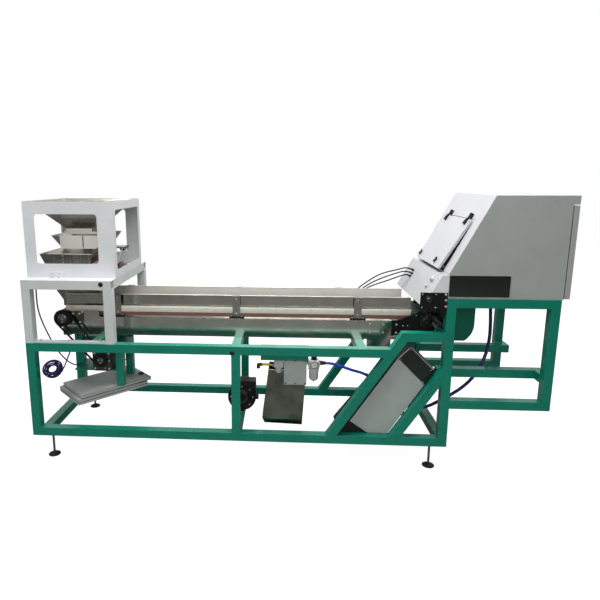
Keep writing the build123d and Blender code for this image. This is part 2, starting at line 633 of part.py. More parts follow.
# Gear motor on the hanging plate: a gearbox in front, a round motor with a fan cover behind and a terminal box.
motor_radius = 68.0
gear_y = [motor_front, motor_front + 80]
motor_body = block(motor_x - 70, motor_x + 70, gear_y[0], gear_y[1], motor_plate_z, motor_z + 66)
motor_body = fillet(motor_body.edges().filter_by(Axis.Y), 18)
motor_body += rod_y(motor_x, motor_z, motor_radius, gear_y[1], gear_y[1] + 170)
motor_body += block(motor_x - 30, motor_x + 40, gear_y[1] + 40, gear_y[1] + 120, motor_z + 50, motor_z + 92)
motor_body += block(motor_x - 56, motor_x + 56, gear_y[1] + 30, gear_y[1] + 140, motor_plate_z, motor_z - 40)
motor_body -= rod_y(motor_x, motor_z, motor_shaft + fit, motor_front, motor_front + 31)
save("motor", motor_body)

# Cabinet: a sheet shell with a sloped front, an opening behind each door and one towards the nose.
cab_y1 = cabinet_y + cabinet_depth
slope_top = cabinet_top
slope_run = math.hypot(slope_top_x - cabinet_left, slope_top - slope_low_z)
slope_ux = (slope_top_x - cabinet_left) / slope_run
slope_uz = (slope_top - slope_low_z) / slope_run
lip_z = cabinet_top - roof_lip
shell_outer = [(cabinet_left, head_top), (cabinet_body_right, head_top), (cabinet_body_right, lip_z),
               (machine_length, lip_z), (machine_length, cabinet_top), (slope_top_x, cabinet_top),
               (cabinet_left, slope_low_z)]
sn = sheet * (1 - slope_ux) / slope_uz
shell_inner = [(cabinet_left + sheet, head_top + sheet), (cabinet_body_right - sheet, head_top + sheet),
               (cabinet_body_right - sheet, lip_z + sheet), (machine_length - sheet, lip_z + sheet),
               (machine_length - sheet, cabinet_top - sheet), (slope_top_x + sn, cabinet_top - sheet),
               (cabinet_left + sheet, slope_low_z - sn)]
shell = prism(shell_outer, cabinet_y, cab_y1) - prism(shell_inner, cabinet_y + sheet, cab_y1 - sheet)


def slope_point(along, out):
    return (cabinet_left + slope_ux * along - slope_uz * out, slope_low_z + slope_uz * along + slope_ux * out)


def slope_block(s0, s1, n0, n1, y0, y1):
    return prism([slope_point(s0, n0), slope_point(s1, n0), slope_point(s1, n1), slope_point(s0, n1)], y0, y1)


door_y = [cabinet_y + 126, cab_y1 - 110]
door_s = [-6.0, 370.0]
shell -= slope_block(30, door_s[1] - 40, -30, 5, door_y[0] + 30, door_y[1] - 30)
service_y = [cabinet_y, cab_y1 - 1]
service_z_span = [head_top + 6, lip_z - 6]
shell -= block(cabinet_body_right - 10, cabinet_body_right + 5, service_y[0] + 50, service_y[1] - 50,
               service_z_span[0] + 50, service_z_span[1] - 50)
shell -= block(cabinet_left - 5, cabinet_left + 10, cabinet_y + 60, cab_y1 - 60, head_top + 20, slope_low_z - 30)
save("cabinet_shell", shell)

# Dark side windows screwed to both side panels at the nose corner.
pane_thick = 4.0
pane = block(cabinet_left + 3, cabinet_left + 388, cabinet_y - pane_thick, cabinet_y, head_top + 14, head_top + 154)
pane = fillet(pane.edges().filter_by(Axis.Y), 6)
far_pane = block(cabinet_left + 3, cabinet_left + 388, cab_y1, cab_y1 + pane_thick, head_top + 14, head_top + 154)
far_pane = fillet(far_pane.edges().filter_by(Axis.Y), 6)
save("side_windows", pane, far_pane)

# Inspection door on the slope, hinged along its upper edge and standing slightly ajar, with strap hinges and latches.
door_thick = 16.0
door_base = 1.0
hinge_s = door_s[1] + 6
hinge_n = door_base + door_thick + 4
hinge_x, hinge_z = slope_point(hinge_s, hinge_n)
hinge_axis = Axis((hinge_x, 0, hinge_z), (0, 1, 0))


def swing(shape):
    return shape.rotate(hinge_axis, door_ajar)


door = slope_block(door_s[0], door_s[1], door_base, door_base + door_thick, door_y[0], door_y[1])
door -= slope_block(door_s[0] + ts, door_s[1] - ts, door_base, door_base + door_thick - ts, door_y[0] + ts,
                    door_y[1] - ts)
save("inspection_door", swing(door))
strap_half = 13.0
strap_length = 44.0
pin_radius = 4.0
fixed_leaves = []
door_leaves = []
for hy in (door_y[0] + 62, door_y[1] - 81):
    rise = slope_block(hinge_s + 8, hinge_s + strap_length, 0, hinge_n - 4, hy - strap_half, hy + strap_half)
    leaf = rise + slope_block(hinge_s + 2, hinge_s + strap_length, hinge_n - 4, hinge_n + 2, hy - 5, hy + 5)
    leaf += rod_y(hinge_x, hinge_z, 7, hy - 5, hy + 5)
    leaf += rod_y(hinge_x, hinge_z, pin_radius, hy - strap_half, hy + strap_half)
    fixed_leaves.append(leaf)
    top = door_base + door_thick
    wing = slope_block(hinge_s - strap_length, hinge_s - 9, top, top + 6, hy - strap_half, hy + strap_half)
    for y0, y1 in ((hy - strap_half, hy - 5.4), (hy + 5.4, hy + strap_half)):
        knuckle = slope_block(hinge_s - 10, hinge_s, top + 0.5, top + 6, y0, y1)
        knuckle += rod_y(hinge_x, hinge_z, 7, y0, y1)
        wing += knuckle - rod_y(hinge_x, hinge_z, pin_radius + fit, y0, y1)
    door_leaves.append(swing(wing))
save("hinge_leaves", *door_leaves)
latch_s = 40.0
latches = []
for ly in (door_y[0] + 124, door_y[1] - 40):
    top = door_base + door_thick
    low = slope_point(latch_s, top + 0.4)
    stem = Plane(origin=(low[0], ly, low[1]), z_dir=(-slope_uz, 0, slope_ux))
    turn = stem * (Pos(0, 0, 3) * Cylinder(11, 6) + Pos(0, 0, 9) * Box(40, 9, 8) + Pos(14, 0, 9) * Box(16, 12, 10))
    latches.append(swing(turn))
save("latch_near", latches[0])
save("latch_far", latches[1])

# Service door: a deep sheet pan on the right end, hung on two pin hinges at the far side.
service_x0 = cabinet_body_right + door_gap
service = block(service_x0, machine_length, service_y[0], service_y[1], service_z_span[0], service_z_span[1])
service -= block(service_x0, machine_length - ts, service_y[0] + ts, service_y[1] - ts, service_z_span[0] + ts,
                 service_z_span[1] - ts)
pin_y = service_y[1] + 9
pin_x = service_x0 + 8
hinge_heights = (service_z_span[0] + 90, service_z_span[1] - 90)
for hz in hinge_heights:
    eye = rod_z(pin_x, pin_y, 8, hz + 0.4, hz + 40)
    eye += block(pin_x - 2, pin_x + 14, service_y[1] - ts, pin_y, hz + 0.4, hz + 40)
    service += eye - rod_z(pin_x, pin_y, 4 + fit, hz, hz + 41)
    service -= rod_z(pin_x, pin_y, 4 + fit, hz, hz + 41)
    tongue = block(cabinet_body_right - 60, pin_x, cab_y1, cab_y1 + 6, hz - 30, hz)
    tongue += rod_z(pin_x, pin_y, 8, hz - 30, hz) + rod_z(pin_x, pin_y, 4, hz, hz + 38)
    tongue += block(pin_x - 8, pin_x, cab_y1, pin_y, hz - 30, hz)
    fixed_leaves.append(tongue)
save("service_door", service)
save("hinge_brackets", *fixed_leaves)

# Nose: the sheet hood over the belt's end, with black end plates, two lamp bars and a slit above the belt.
nose_top_x = cabinet_left - nose_shelf
nose_outer = [(nose_left, nose_bottom), (cabinet_left, nose_bottom), (cabinet_left, slope_low_z - 12),
              (nose_top_x, slope_low_z - 12)]
nose_inner = [(nose_left + 6, nose_bottom + sheet), (cabinet_left, nose_bottom + sheet),
              (cabinet_left, slope_low_z - 12 - sheet), (nose_top_x + 4, slope_low_z - 12 - sheet)]
nose = prism(nose_outer, cabinet_y, cab_y1) - prism(nose_inner, cabinet_y + sheet, cab_y1 - sheet)
nose -= block(nose_left + 60, cabinet_left - 20, belt_y[0], belt_y[1], nose_bottom, nose_bottom + sheet)
nose -= block(column_x, cabinet_left, 0, frame_depth, nose_bottom, head_top)
save("nose_housing", nose)
optic_low = nose_bottom - 12
optic_x = [nose_left - 20, cabinet_left - 3]
optic = block(optic_x[0], optic_x[1], cabinet_y - 6, cabinet_y, optic_low, optic_low + 113)
optic += block(optic_x[0] + 70, optic_x[0] + 110, cabinet_y - 6, cabinet_y, optic_low - 14, optic_low)
optic += block(optic_x[0] + 136, optic_x[0] + 172, cabinet_y - 6, cabinet_y, optic_low - 38, optic_low)
far_optic = block(nose_left + 70, optic_x[1], cab_y1, cab_y1 + 6, optic_low + 18, optic_low + 108)
save("optic_plates", optic, far_optic)
lamps = []
for lx, lz in ((nose_left + 50, nose_bottom + 43), (nose_left + 136, nose_bottom + 145)):
    lamps.append(rod_y(lx, lz, 15, cabinet_y + sheet, cab_y1 - sheet))
save("lamps", *lamps)

# Line cameras on a bar across the cabinet, aimed down at the belt's end.
camera_x = cabinet_left + 297
camera_z = cabinet_top - 290
camera_bar = block(camera_x + 25, camera_x + 75, cabinet_y + sheet, cab_y1 - sheet, camera_z - 24, camera_z)
cameras = [camera_bar]
for cy in (cabinet_y + 272, cab_y1 - 272):
    body = block(camera_x, camera_x + 100, cy - 45, cy + 45, camera_z, camera_z + 106)
    cameras.append(body)
    cameras.append(rod_x(cy, camera_z + 36, 30, camera_x - 70, camera_x))
save("cameras", *cameras)

# Air ejector bar between the columns, with a row of nozzles just past the belt's end.
bar_z = raised_top
ejector = block(column_x + 12, base_length - 8, tube, inner_far, bar_z, bar_z + 40)
nozzle_count = 16
for k in range(nozzle_count):
    ny = belt_y[0] + belt_width * (k + 0.5) / nozzle_count
    ejector += rod_z(column_x + 26, ny, 4, bar_z + 40, bar_z + 52)
save("ejector_bar", ejector)

# Green discharge hood: two cheeks and a back that curves under the falling product.
hood_x = [base_length + 15, base_length + 217]
hood_y = [mid_y - 185, mid_y + 185]
hood_high = head_top - tube
hood_bend = 960.0
hood_low = 846.0


def hood_outline(inset):
    right = hood_x[1] - inset
    end = (base_length + 155 - inset * 0.5, hood_low)
    bend = Line((right, hood_high), (right, hood_bend))
    curve = ThreePointArc((right, hood_bend), (right - 19, hood_bend - 66), end)
    return bend, curve, end


def hood_solid(inset, y0, y1):
    bend, curve, end = hood_outline(inset)
    left = hood_x[0]
    rest = Polyline(end, (left, hood_low), (left, hood_high), (hood_x[1] - inset, hood_high))
    face = make_face(Plane.XZ * Pos(0, 0, -y0) * (bend + curve + rest))
    return extrude(face, amount=y1 - y0, dir=(0, 1, 0))


hood = hood_solid(0, hood_y[0], hood_y[1]) - hood_solid(sheet, hood_y[0] + sheet, hood_y[1] - sheet)
save("discharge_hood", hood)

# Control box held behind the two braces, down to the base beam, with a dark panel let into its upper field.
box_y = [tube, 280.0]


def from_head(points):
    return [(base_length - back, z) for back, z in points]


box_points = from_head([(750, 232), (685, 165), (450, 165), (73, 671), (264, 861), (352, 768)])
box_inside = from_head([(727, 233), (676, 182), (456, 182), (99, 662), (265, 829), (339, 752)])
panel_points = from_head([(342, 764), (263, 848), (89, 674), (156, 578)])
control_box = prism(box_points, box_y[0], box_y[1])
panel_depth = 3.0
control_box -= prism(panel_points, box_y[0], box_y[0] + panel_depth)
control_box -= prism(box_inside, box_y[0] + 6, box_y[1] - 3)
save("control_box", control_box)
save("control_screen", prism(panel_points, box_y[0], box_y[0] + panel_depth))

# Stainless debris bin hung from the service angle by its back sheet.
bin_y = [146.0, 206.0 + 100]
bin_outer = [(253, 642), (208, 270), (224, 235), (496, 225), (522, 642)]
bin_inner = [(256, 642), (211, 270), (226, 238), (493, 228), (519, 642)]
bin_outer = [(middle_post_x + x, z) for x, z in bin_outer]
bin_inner = [(middle_post_x + x, z) for x, z in bin_inner]
debris = prism(bin_outer, bin_y[0], bin_y[1]) - prism(bin_inner, bin_y[0] + ts, bin_y[1] - ts)
hook_x = [middle_post_x + 380, middle_post_x + 500]
debris += block(hook_x[0], hook_x[1], 200, 204, 600, service_z)
debris += block(hook_x[0], hook_x[1], 200, bin_y[1], 600, 604)
save("debris_bin", debris)

# Air service: a valve box with a brass inlet, and a filter regulator with its setting knob.
valve_y = [90.0, 140.0]
valve_x = [middle_post_x + 362, middle_post_x + 521]
valve = block(valve_x[0], valve_x[1], valve_y[0], valve_y[1], 552, service_z)
valve = fillet(valve.edges().filter_by(Axis.Y), 5)
valve -= block(valve_x[0] + 4, valve_x[1] - 4, valve_y[0] + 3, valve_y[1] - 3, 556, service_z - 4)
save("valve_box", valve)
regulator_x = middle_post_x + 572
regulator_y = 118.0
port_z = 708.0
body_z = [port_z - 30, port_z + 24]
unit_half = 40.0
port_end = regulator_x + 62
regulator = block(regulator_x - unit_half, regulator_x + unit_half, regulator_y - 30, regulator_y + 30, body_z[0],
                  body_z[1])
regulator += rod_x(regulator_y, port_z, 12, valve_x[1], regulator_x - unit_half)
regulator += rod_x(regulator_y, port_z, 13, regulator_x + unit_half, port_end)
regulator += rod_z(regulator_x, regulator_y, 34, body_z[0] - 98, body_z[0])
regulator += rod_z(regulator_x, regulator_y, 6, body_z[0] - 110, body_z[0] - 98)
regulator += rod_z(regulator_x, regulator_y, 7, body_z[1], body_z[1] + 6)
inlet_x = valve_x[0]
inlet_z = port_z - 20
inlet = rod_x(regulator_y, inlet_z, 22, inlet_x - 80, inlet_x)
inlet += rod_x(regulator_y, inlet_z, 8, inlet_x - 160, inlet_x - 80)
inlet += rod_x(regulator_y, inlet_z, 12, inlet_x - 192, inlet_x - 156)
inlet += rod_z(inlet_x - 186, regulator_y, 11, inlet_z - 28, inlet_z + 8)
save("filter_regulator", regulator, inlet)
turn_knob = rod_z(regulator_x, regulator_y, 20, body_z[1] + 0.4, body_z[1] + 38)
turn_knob -= rod_z(regulator_x, regulator_y, 7 + fit, body_z[1], body_z[1] + 6.4)
save("regulator_knob", turn_knob)

# Black suction blower on the middle cross beam.
blower_x = middle_post_x + 42
blower_z = base_in + 112
blower = rod_y(blower_x, blower_z, 106, 360, 450)
blower += block(blower_x - 10, blower_x + 106, 360, 450, blower_z, base_in + 240)
blower += rod_y(blower_x, blower_z, 72, 450, 620)
blower += block(middle_post_x, middle_post_x + tube, 350, 600, base_in, base_in + 60)
blower += rod_x(405, blower_z - 14, 20, blower_x + 90, blower_x + 126)
save("blower", blower)


# Air tubes and cables: straight runs joined by tangent arcs, each as large as its runs allow.
def cord(name, points, diameter):
    lengths = []
    for a, b in zip(points, points[1:]):
        lengths.append(math.dist(a, b))
    radii = []
    for k in range(1, len(points) - 1):
        before = Vector(*points[k]) - Vector(*points[k - 1])
        after = Vector(*points[k + 1]) - Vector(*points[k])
        half = math.radians(before.get_angle(after)) / 2
        radii.append(0.45 * min(lengths[k - 1], lengths[k]) / math.tan(half))
    path = FilletPolyline(*points, radius=radii)
    wire = path.wires()[0]
    profile = Plane(origin=wire @ 0, z_dir=wire % 0) * Circle(diameter / 2)
    solid = sweep(profile, path=wire)
    expected = math.pi * diameter ** 2 / 4 * wire.length
    print(name, "length", round(wire.length), "radii", [round(r) for r in radii],
          "volume ratio", round(solid.volume / expected, 4))
    return solid


feeder_points = [(70, 74, deck_z - deck_sheet), (70, 74, 1240), (67, 77, 1168), (64, 86, 1084), (72, 106, 1000),
                 (86, 140, 906), (102, 184, 808), (122, 234, 712), (146, 286, 634), (172, 330, 584),
                 (post_x + tube / 2, post_y - 36, 550), (post_x + tube / 2, post_y, 550)]
feeder_tube = cord("feeder_tube", feeder_points, air_tube)
save("feeder_tube", feeder_tube)


# A point on one edge of the control box, stood off squarely from it.
def beside_box(first, last, share, out):
    (x0, z0), (x1, z1) = box_points[first], box_points[last]
    length = math.dist((x0, z0), (x1, z1))
    x = x0 + (x1 - x0) * share + out * (z0 - z1) / length
    z = z0 + (z1 - z0) * share + out * (x1 - x0) / length
    return x, z


hose_gland = beside_box(0, 5, 0.64, 0)
hose_stub = beside_box(0, 5, 0.64, 46)
hose_start = port_end
hose_way = [(0, regulator_y, port_z), (0.121, regulator_y, port_z), (0.283, 128, 696), (0.473, 143, 670),
            (0.681, 158, 642), (0.872, 172, 622), (1, 178, hose_stub[1])]
hose_points = [(hose_start + (hose_stub[0] - hose_start) * share, y, z) for share, y, z in hose_way]
hose_points.append((hose_gland[0], 178, hose_gland[1]))
blue_hose = cord("blue_hose", hose_points, 20)
save("blue_hose", blue_hose)

head_gland = beside_box(3, 2, 0.52, 0)
head_stub = beside_box(3, 2, 0.52, 70)
head_way = [(387, 435, head_top), (387, 435, head_top - 76), (394, 434, 1030), (402, 432, 920), (402, 426, 812),
            (384, 416, 706), (344, 398, 606), (280, 370, 520), (196, 334, 458), (105, 300, 414), (18, 268, 380),
            (-61, 236, 354), (-139, 208, 346)]
head_points = [(base_length + x, y, z) for x, y, z in head_way]
head_points += [(head_stub[0], 190, head_stub[1]), (head_gland[0], 190, head_gland[1])]
head_hose = cord("head_hose", head_points, 24)
save("head_hose", head_hose)


def nose_face(z):
    return nose_left + (z - nose_bottom) * (nose_top_x - nose_left) / (slope_low_z - 12 - nose_bottom)


def nose_start(z, y, out):
    return nose_face(z) - out * slope_uz, y, z + out * slope_ux


# Each strand's points after the nose are distances back from the column's right face, with Y and Z.
strand_starts = [(1290, 604), (1268, 588), (1246, 600)]
strand_ways = [
    [(203, 604, 1312), (243, 604, 1300), (290, 604, 1288), (345, 605, 1275), (405, 606, 1252), (460, 607, 1217),
     (511, 609, 1180), (555, 614, 1142), (585, 620, 1100), (599, 624, 1056), (600, 624, 1018), (600, 624, plate_high)],
    [(220, 590, 1286), (270, 592, 1270), (325, 596, 1250), (380, 600, 1228), (435, 606, 1200), (485, 612, 1170),
     (527, 618, 1134), (559, 622, 1092), (579, 624, 1050), (585, 624, 1015), (585, 624, plate_high)],
    [(235, 601, 1248), (291, 602, 1226), (347, 605, 1204), (403, 608, 1184), (457, 612, 1162), (501, 617, 1136),
     (537, 621, 1106), (561, 624, 1068), (569, 624, 1024), (569, 624, plate_high)],
]
strands = []
for k, way in enumerate(strand_ways):
    start_z, start_y = strand_starts[k]
    points = [nose_start(start_z, start_y, 0), nose_start(start_z, start_y, 32)]
    points += [(base_length - back, y, z) for back, y, z in way]
    strands.append(cord("nose_cable " + str(k + 1), points, 10))
optic_way = [(135, cabinet_y - 3, optic_low), (135, cabinet_y - 3, 1119), (125, 7, 1105), (105, 9, 1095),
             (85, 13, 1086), (63, 18, 1080), (41, 25, 1077), (19, 29, 1076), (0, 29, 1076)]
optic_points = [(column_x - back, y, z) for back, y, z in optic_way]
strands.append(cord("optic_cable", optic_points, 6))
save("nose_cables", *strands)

# Hank of air tube by the left post: loops on a narrow ring that drift round its section, then a lead to the conveyor.
loops = 8
per_loop = 10
hank_centre = Vector(112, 142, 612)
hank_long = 52.0
hank_short = 52.0
hank_thick = 19.0
across = Vector(1, 0, -0.08).normalized()
lean_back = Vector(0, 0.75, 0.66).normalized()
ring_axis = across.cross(lean_back).normalized()


def hank_point(turn):
    angle = 2 * math.pi * turn
    drift = 2 * math.pi * turn / (loops + 1)
    spread = hank_thick * math.cos(drift)
    rise = hank_thick * math.sin(drift)
    flat = across * ((hank_long + spread) * math.cos(angle)) + lean_back * ((hank_short + spread) * math.sin(angle))
    return hank_centre + flat + ring_axis * rise


route = []
for k in range(loops * per_loop + 1):
    route.append(hank_point(k / per_loop))
route += [Vector(190, 178, 628), Vector(204, 196, 676), Vector(222, 212, 726), Vector(244, 228, 774),
          Vector(264, 244, 812), Vector(268, web_y + 22, plate_low - 22),
          Vector(270, web_y + 26, plate_low)]


def heading_at(k):
    if k == len(route) - 1:
        return Vector(0, 0, 1)
    low = route[max(k - 1, 0)]
    high = route[min(k + 1, len(route) - 1)]
    return (high - low).normalized()


# Each stretch of the hank is a pair of arcs that share a tangent with their neighbours.
arcs = []
for k in range(len(route) - 1):
    first_point = route[k]
    last_point = route[k + 1]
    first_way = heading_at(k)
    last_way = heading_at(k + 1)
    chord = last_point - first_point
    bend = 2 * (1 - first_way.dot(last_way))
    along = chord.dot(first_way + last_way)
    reach = (math.sqrt(along * along + bend * chord.dot(chord)) - along) / bend
    joint = (first_point + first_way * reach + last_point - last_way * reach) / 2
    joint_way = (last_point - last_way * reach - first_point - first_way * reach).normalized()
    arcs.append(TangentArc(first_point, joint, tangent=first_way))
    arcs.append(TangentArc(joint, last_point, tangent=joint_way))
hank_wire = Wire([arc.edges()[0] for arc in arcs])
hank_profile = Plane(origin=hank_wire @ 0, z_dir=hank_wire % 0) * Circle(air_tube / 2)
hank = sweep(hank_profile, path=hank_wire)
samples = [hank_wire @ (k / 1500) for k in range(1501)]
skip = int(60 / (hank_wire.length / 1500))
least = math.inf
for k in range(0, len(samples), 3):
    for j in range(k + skip, len(samples), 2):
        least = min(least, (samples[k] - samples[j]).length)
print("air_coil length", round(hank_wire.length), "least gap", round(least - air_tube, 2),
      "volume ratio", round(hank.volume / (math.pi * air_tube ** 2 / 4 * hank_wire.length), 4))
save("air_coil", hank)
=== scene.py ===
# %% [markdown]
# Colour sorter, dressed in Blender. The imported model comes in first as a fixed frame: every object is
# already in metres and in its final place, so nothing here is fitted by eye.

# %% Load the frame
import bpy
import bmesh
import math
from mathutils import Matrix, Vector


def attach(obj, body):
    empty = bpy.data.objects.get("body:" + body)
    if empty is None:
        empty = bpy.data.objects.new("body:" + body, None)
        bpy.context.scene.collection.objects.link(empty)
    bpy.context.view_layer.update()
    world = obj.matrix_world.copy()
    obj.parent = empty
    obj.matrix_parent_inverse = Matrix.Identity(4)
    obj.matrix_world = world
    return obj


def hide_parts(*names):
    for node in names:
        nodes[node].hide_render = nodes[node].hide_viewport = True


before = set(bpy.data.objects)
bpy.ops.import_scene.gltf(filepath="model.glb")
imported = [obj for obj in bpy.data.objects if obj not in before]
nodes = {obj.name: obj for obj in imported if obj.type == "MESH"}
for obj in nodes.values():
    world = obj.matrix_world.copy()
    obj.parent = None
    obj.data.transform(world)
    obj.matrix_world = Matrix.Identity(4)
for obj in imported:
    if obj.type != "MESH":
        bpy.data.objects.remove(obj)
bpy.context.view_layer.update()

# %% [markdown]
# The machine was measured in millimetres from its left end, its near face and the floor. Blender works in
# metres about the middle of the footprint. `spot` turns the first into the second. The helpers further down
# take machine millimetres and call it themselves, so their numbers can be read against a drawing of the
# machine. `put` brings a new object into the scene.

# %% Machine millimetres to scene metres
HALF_LENGTH = 1819.0
HALF_DEPTH = 435.0
NEAR, FAR = (0, -1, 0), (0, 1, 0)
LEFT, RIGHT = (-1, 0, 0), (1, 0, 0)
DOWN, UP = (0, 0, -1), (0, 0, 1)


def spot(x, y, z):
    return Vector(((x - HALF_LENGTH) / 1000, (y - HALF_DEPTH) / 1000, z / 1000))


def put(name, data):
    thing = bpy.data.objects.new(name, data)
    bpy.context.scene.collection.objects.link(thing)
    return thing


print("near left foot at", tuple(round(v, 4) for v in spot(134, 30, 0)))

# %% [markdown]
# The photograph is taken from in front, a little above the belt, with a fairly wide lens and then cropped.
# A camera that stands where the photographer stood gives the same perspective; the crop becomes a small
# lens shift, because turning the camera instead would make the upright posts lean.

# %% Camera
FRAME_PIXELS = 600
FOCAL_PIXELS = 508.7
CENTRE_PIXELS = (255.8, 277.4)
EYE_PLACE = (1800.4, -3303.1, 1958.9)
PITCH_DOWN_DEG = 10.66
YAW_DEG = 3.305
eye = bpy.data.cameras.new("camera")
eye.sensor_fit = "HORIZONTAL"
eye.sensor_width = 36.0
eye.lens = FOCAL_PIXELS / FRAME_PIXELS * eye.sensor_width
eye.shift_x = 0.5 - CENTRE_PIXELS[0] / FRAME_PIXELS
eye.shift_y = CENTRE_PIXELS[1] / FRAME_PIXELS - 0.5
eye.clip_end = 200.0
camera = put("camera", eye)
camera.location = spot(*EYE_PLACE)
camera.rotation_euler = (math.radians(90 - PITCH_DOWN_DEG), 0.0, math.radians(YAW_DEG))
bpy.context.scene.camera = camera
print("lens", round(eye.lens, 2), "shift", round(eye.shift_x, 4), round(eye.shift_y, 4))

# %% [markdown]
# Colours are picked as sRGB hex values, the way paint and plastic are named on a screen. Shaders work in
# linear light, so one function converts them. Another adds a node to any node tree, with its settings, its
# fixed inputs and its links, which keeps every tree short to read. A node that is given as an input stands
# for its first output.

# %% Helpers for all node trees
def linear(colour):
    channels = [int(colour[k:k + 2], 16) / 255 for k in (1, 3, 5)]
    return (*[c / 12.92 if c <= 0.04045 else ((c + 0.055) / 1.055) ** 2.4 for c in channels], 1.0)


def node(tree, kind, inputs=None, **settings):
    made = tree.nodes.new(kind)
    for key, value in settings.items():
        setattr(made, key, value)
    for key, value in (inputs or {}).items():
        for item in value if isinstance(value, list) else [value]:
            item = item.outputs[0] if isinstance(item, bpy.types.Node) else item
            if isinstance(item, bpy.types.NodeSocket):
                tree.links.new(item, made.inputs[key])
            else:
                made.inputs[key].default_value = item
    return made


def new_material(name):
    material = bpy.data.materials.new(name)
    material.use_nodes = True
    material.node_tree.nodes.clear()
    return material, material.node_tree


print("mid grey is", [round(v, 3) for v in linear("#808080")])

# %% [markdown]
# No real surface is one even colour. Every finish below starts from a noise texture that picks soft
# patches, a few centimetres to a hand wide, and lets the worn colour show through there. The texture is set
# in object space, so it stays with the piece when the piece moves. The second function closes a material:
# it roughens the skin with a bump, rounds the shading at corners where asked, and adds the shader.

# %% Base of all finishes
def patchy(name, colour, worn, patch_mm, detail, soft, share):
    material, tree = new_material(name)
    place = node(tree, "ShaderNodeTexCoord").outputs["Object"]
    patch = node(tree, "ShaderNodeTexNoise", {
        "Vector": place, "Scale": 1000 / patch_mm, "Detail": detail, "Roughness": soft})
    amount = node(tree, "ShaderNodeMapRange", {
        "Value": patch, "From Min": share[0], "From Max": share[1], "To Min": 0.0, "To Max": share[2]})
    tint = node(tree, "ShaderNodeMix", {
        0: amount, 6: linear(colour), 7: linear(worn)}, data_type="RGBA")
    return material, place, patch, tint.outputs[2]


def shaded(material, height, strength, depth_mm, corner_mm, inputs):
    tree = material.node_tree
    bump = {"Height": height, "Strength": strength, "Distance": depth_mm / 1000}
    if corner_mm:
        bump["Normal"] = node(tree, "ShaderNodeBevel", {"Radius": corner_mm / 1000}, samples=4)
    skin = node(tree, "ShaderNodeBump", bump)
    shader = node(tree, "ShaderNodeBsdfPrincipled", {**inputs, "Normal": skin})
    node(tree, "ShaderNodeOutputMaterial", {"Surface": shader})
    return material


print("materials so far", len(bpy.data.materials))

# %% [markdown]
# Powder coat is paint melted onto steel in an oven. It flows out with a fine dimpled skin, called orange
# peel, a couple of millimetres across, and it dulls in broad patches where it is handled. The corners of a
# square tube are rolled, not sharp, so the Bevel node rounds the shading there by a few millimetres and
# each edge catches a thin line of light. Dust darkens it a little in patches a hand wide.

# %% Finish: powder coat
PATCH_MM = 180.0
SPECK_MM = 14.0


def powder_coat(name, colour, worn, gloss=(0.3, 0.45), shine=0.5, grime=0.35, peel_mm=2.4, corner_mm=2.5):
    material, place, patch, dull = patchy(name, colour, worn, PATCH_MM, detail=5.0, soft=0.62,
                                          share=(0.42, 0.75, grime))
    tree = material.node_tree
    speck = node(tree, "ShaderNodeTexNoise", {"Vector": place, "Scale": 1000 / SPECK_MM, "Detail": 3.0})
    peel = node(tree, "ShaderNodeTexNoise", {"Vector": place, "Scale": 1000 / peel_mm, "Detail": 1.0})
    fleck = node(tree, "ShaderNodeMapRange", {
        "Value": speck, "From Min": 0.64, "From Max": 0.74, "To Max": grime * 0.5})
    tint = node(tree, "ShaderNodeMix", {0: fleck, 6: dull, 7: linear(worn)}, data_type="RGBA")
    rough = node(tree, "ShaderNodeMapRange", {
        "Value": patch, "From Min": 0.3, "From Max": 0.7, "To Min": gloss[0], "To Max": gloss[1]})
    return shaded(material, peel, strength=0.12, depth_mm=0.3, corner_mm=corner_mm, inputs={
        "Base Color": tint.outputs[2], "Roughness": rough, "IOR": 1.5, "Specular IOR Level": shine})


frame_green = powder_coat("green powder coat", "#04806a", "#055c4a", gloss=(0.2, 0.34), shine=0.36)
# The hood's green is darker than the frame's: painted shade, for the hood hangs in shadow under the head.
hood_shade_green = powder_coat("green powder coat darkened as painted shade", "#066350", "#054a3c", shine=0.25)
hopper_white = powder_coat("white powder coat", "#dcdee0", "#c0c3c3")
stand_white = powder_coat("pale grey powder coat", "#ced2d0", "#b2b6b4")
door_white = powder_coat("gloss white powder coat", "#b1b1b6", "#a1a3a6", gloss=(0.16, 0.28), shine=0.32,
                         grime=0.2)
slope_white = powder_coat("satin white powder coat", "#b4b4b8", "#a4a6a8", gloss=(0.3, 0.42), shine=0.3,
                          grime=0.3)
# The nose's sloping faces get this darker white and its near faces the brighter hopper white: painted light
# that evens out the lit slope and the shaded side of one white paint.
nose_white = powder_coat("white powder coat of the nose", "#b2b3b5", "#9c9ea0", gloss=(0.2, 0.34),
                         shine=0.35, grime=0.4)
cabinet_grey = powder_coat("light grey speckled powder coat", "#a4a9a6", "#878c89", gloss=(0.34, 0.48),
                           peel_mm=3.2)
box_grey = powder_coat("grey hammered enamel", "#aab2ae", "#8a918d", gloss=(0.28, 0.42), peel_mm=5.0)
motor_paint = powder_coat("dark grey machine enamel", "#23282a", "#34393a", shine=0.35, grime=0.6)
plate_grey = powder_coat("grey primed sheet", "#b4b6b4", "#8d908d", gloss=(0.45, 0.6), corner_mm=1.5)
black_paint = powder_coat("black machine enamel", "#0b0d0d", "#1a1c1b", gloss=(0.32, 0.5), shine=0.3,
                          grime=0.5)
print("painted finishes", len(bpy.data.materials))

# %% [markdown]
# Stainless sheet leaves the mill with a fine brushed line along its length. Each scratch is far too thin to
# show, so the lines are drawn about a millimetre apart, long in one direction and short across it. Finger
# marks and rinse water leave soft cloudy patches that change the roughness more than the colour. Zinc
# plate, turned steel and brass are the same finish with other colours and line widths.

# %% Finish: brushed stainless sheet
CLOUD_MM = 130.0
LINES_ALONG = 2.5


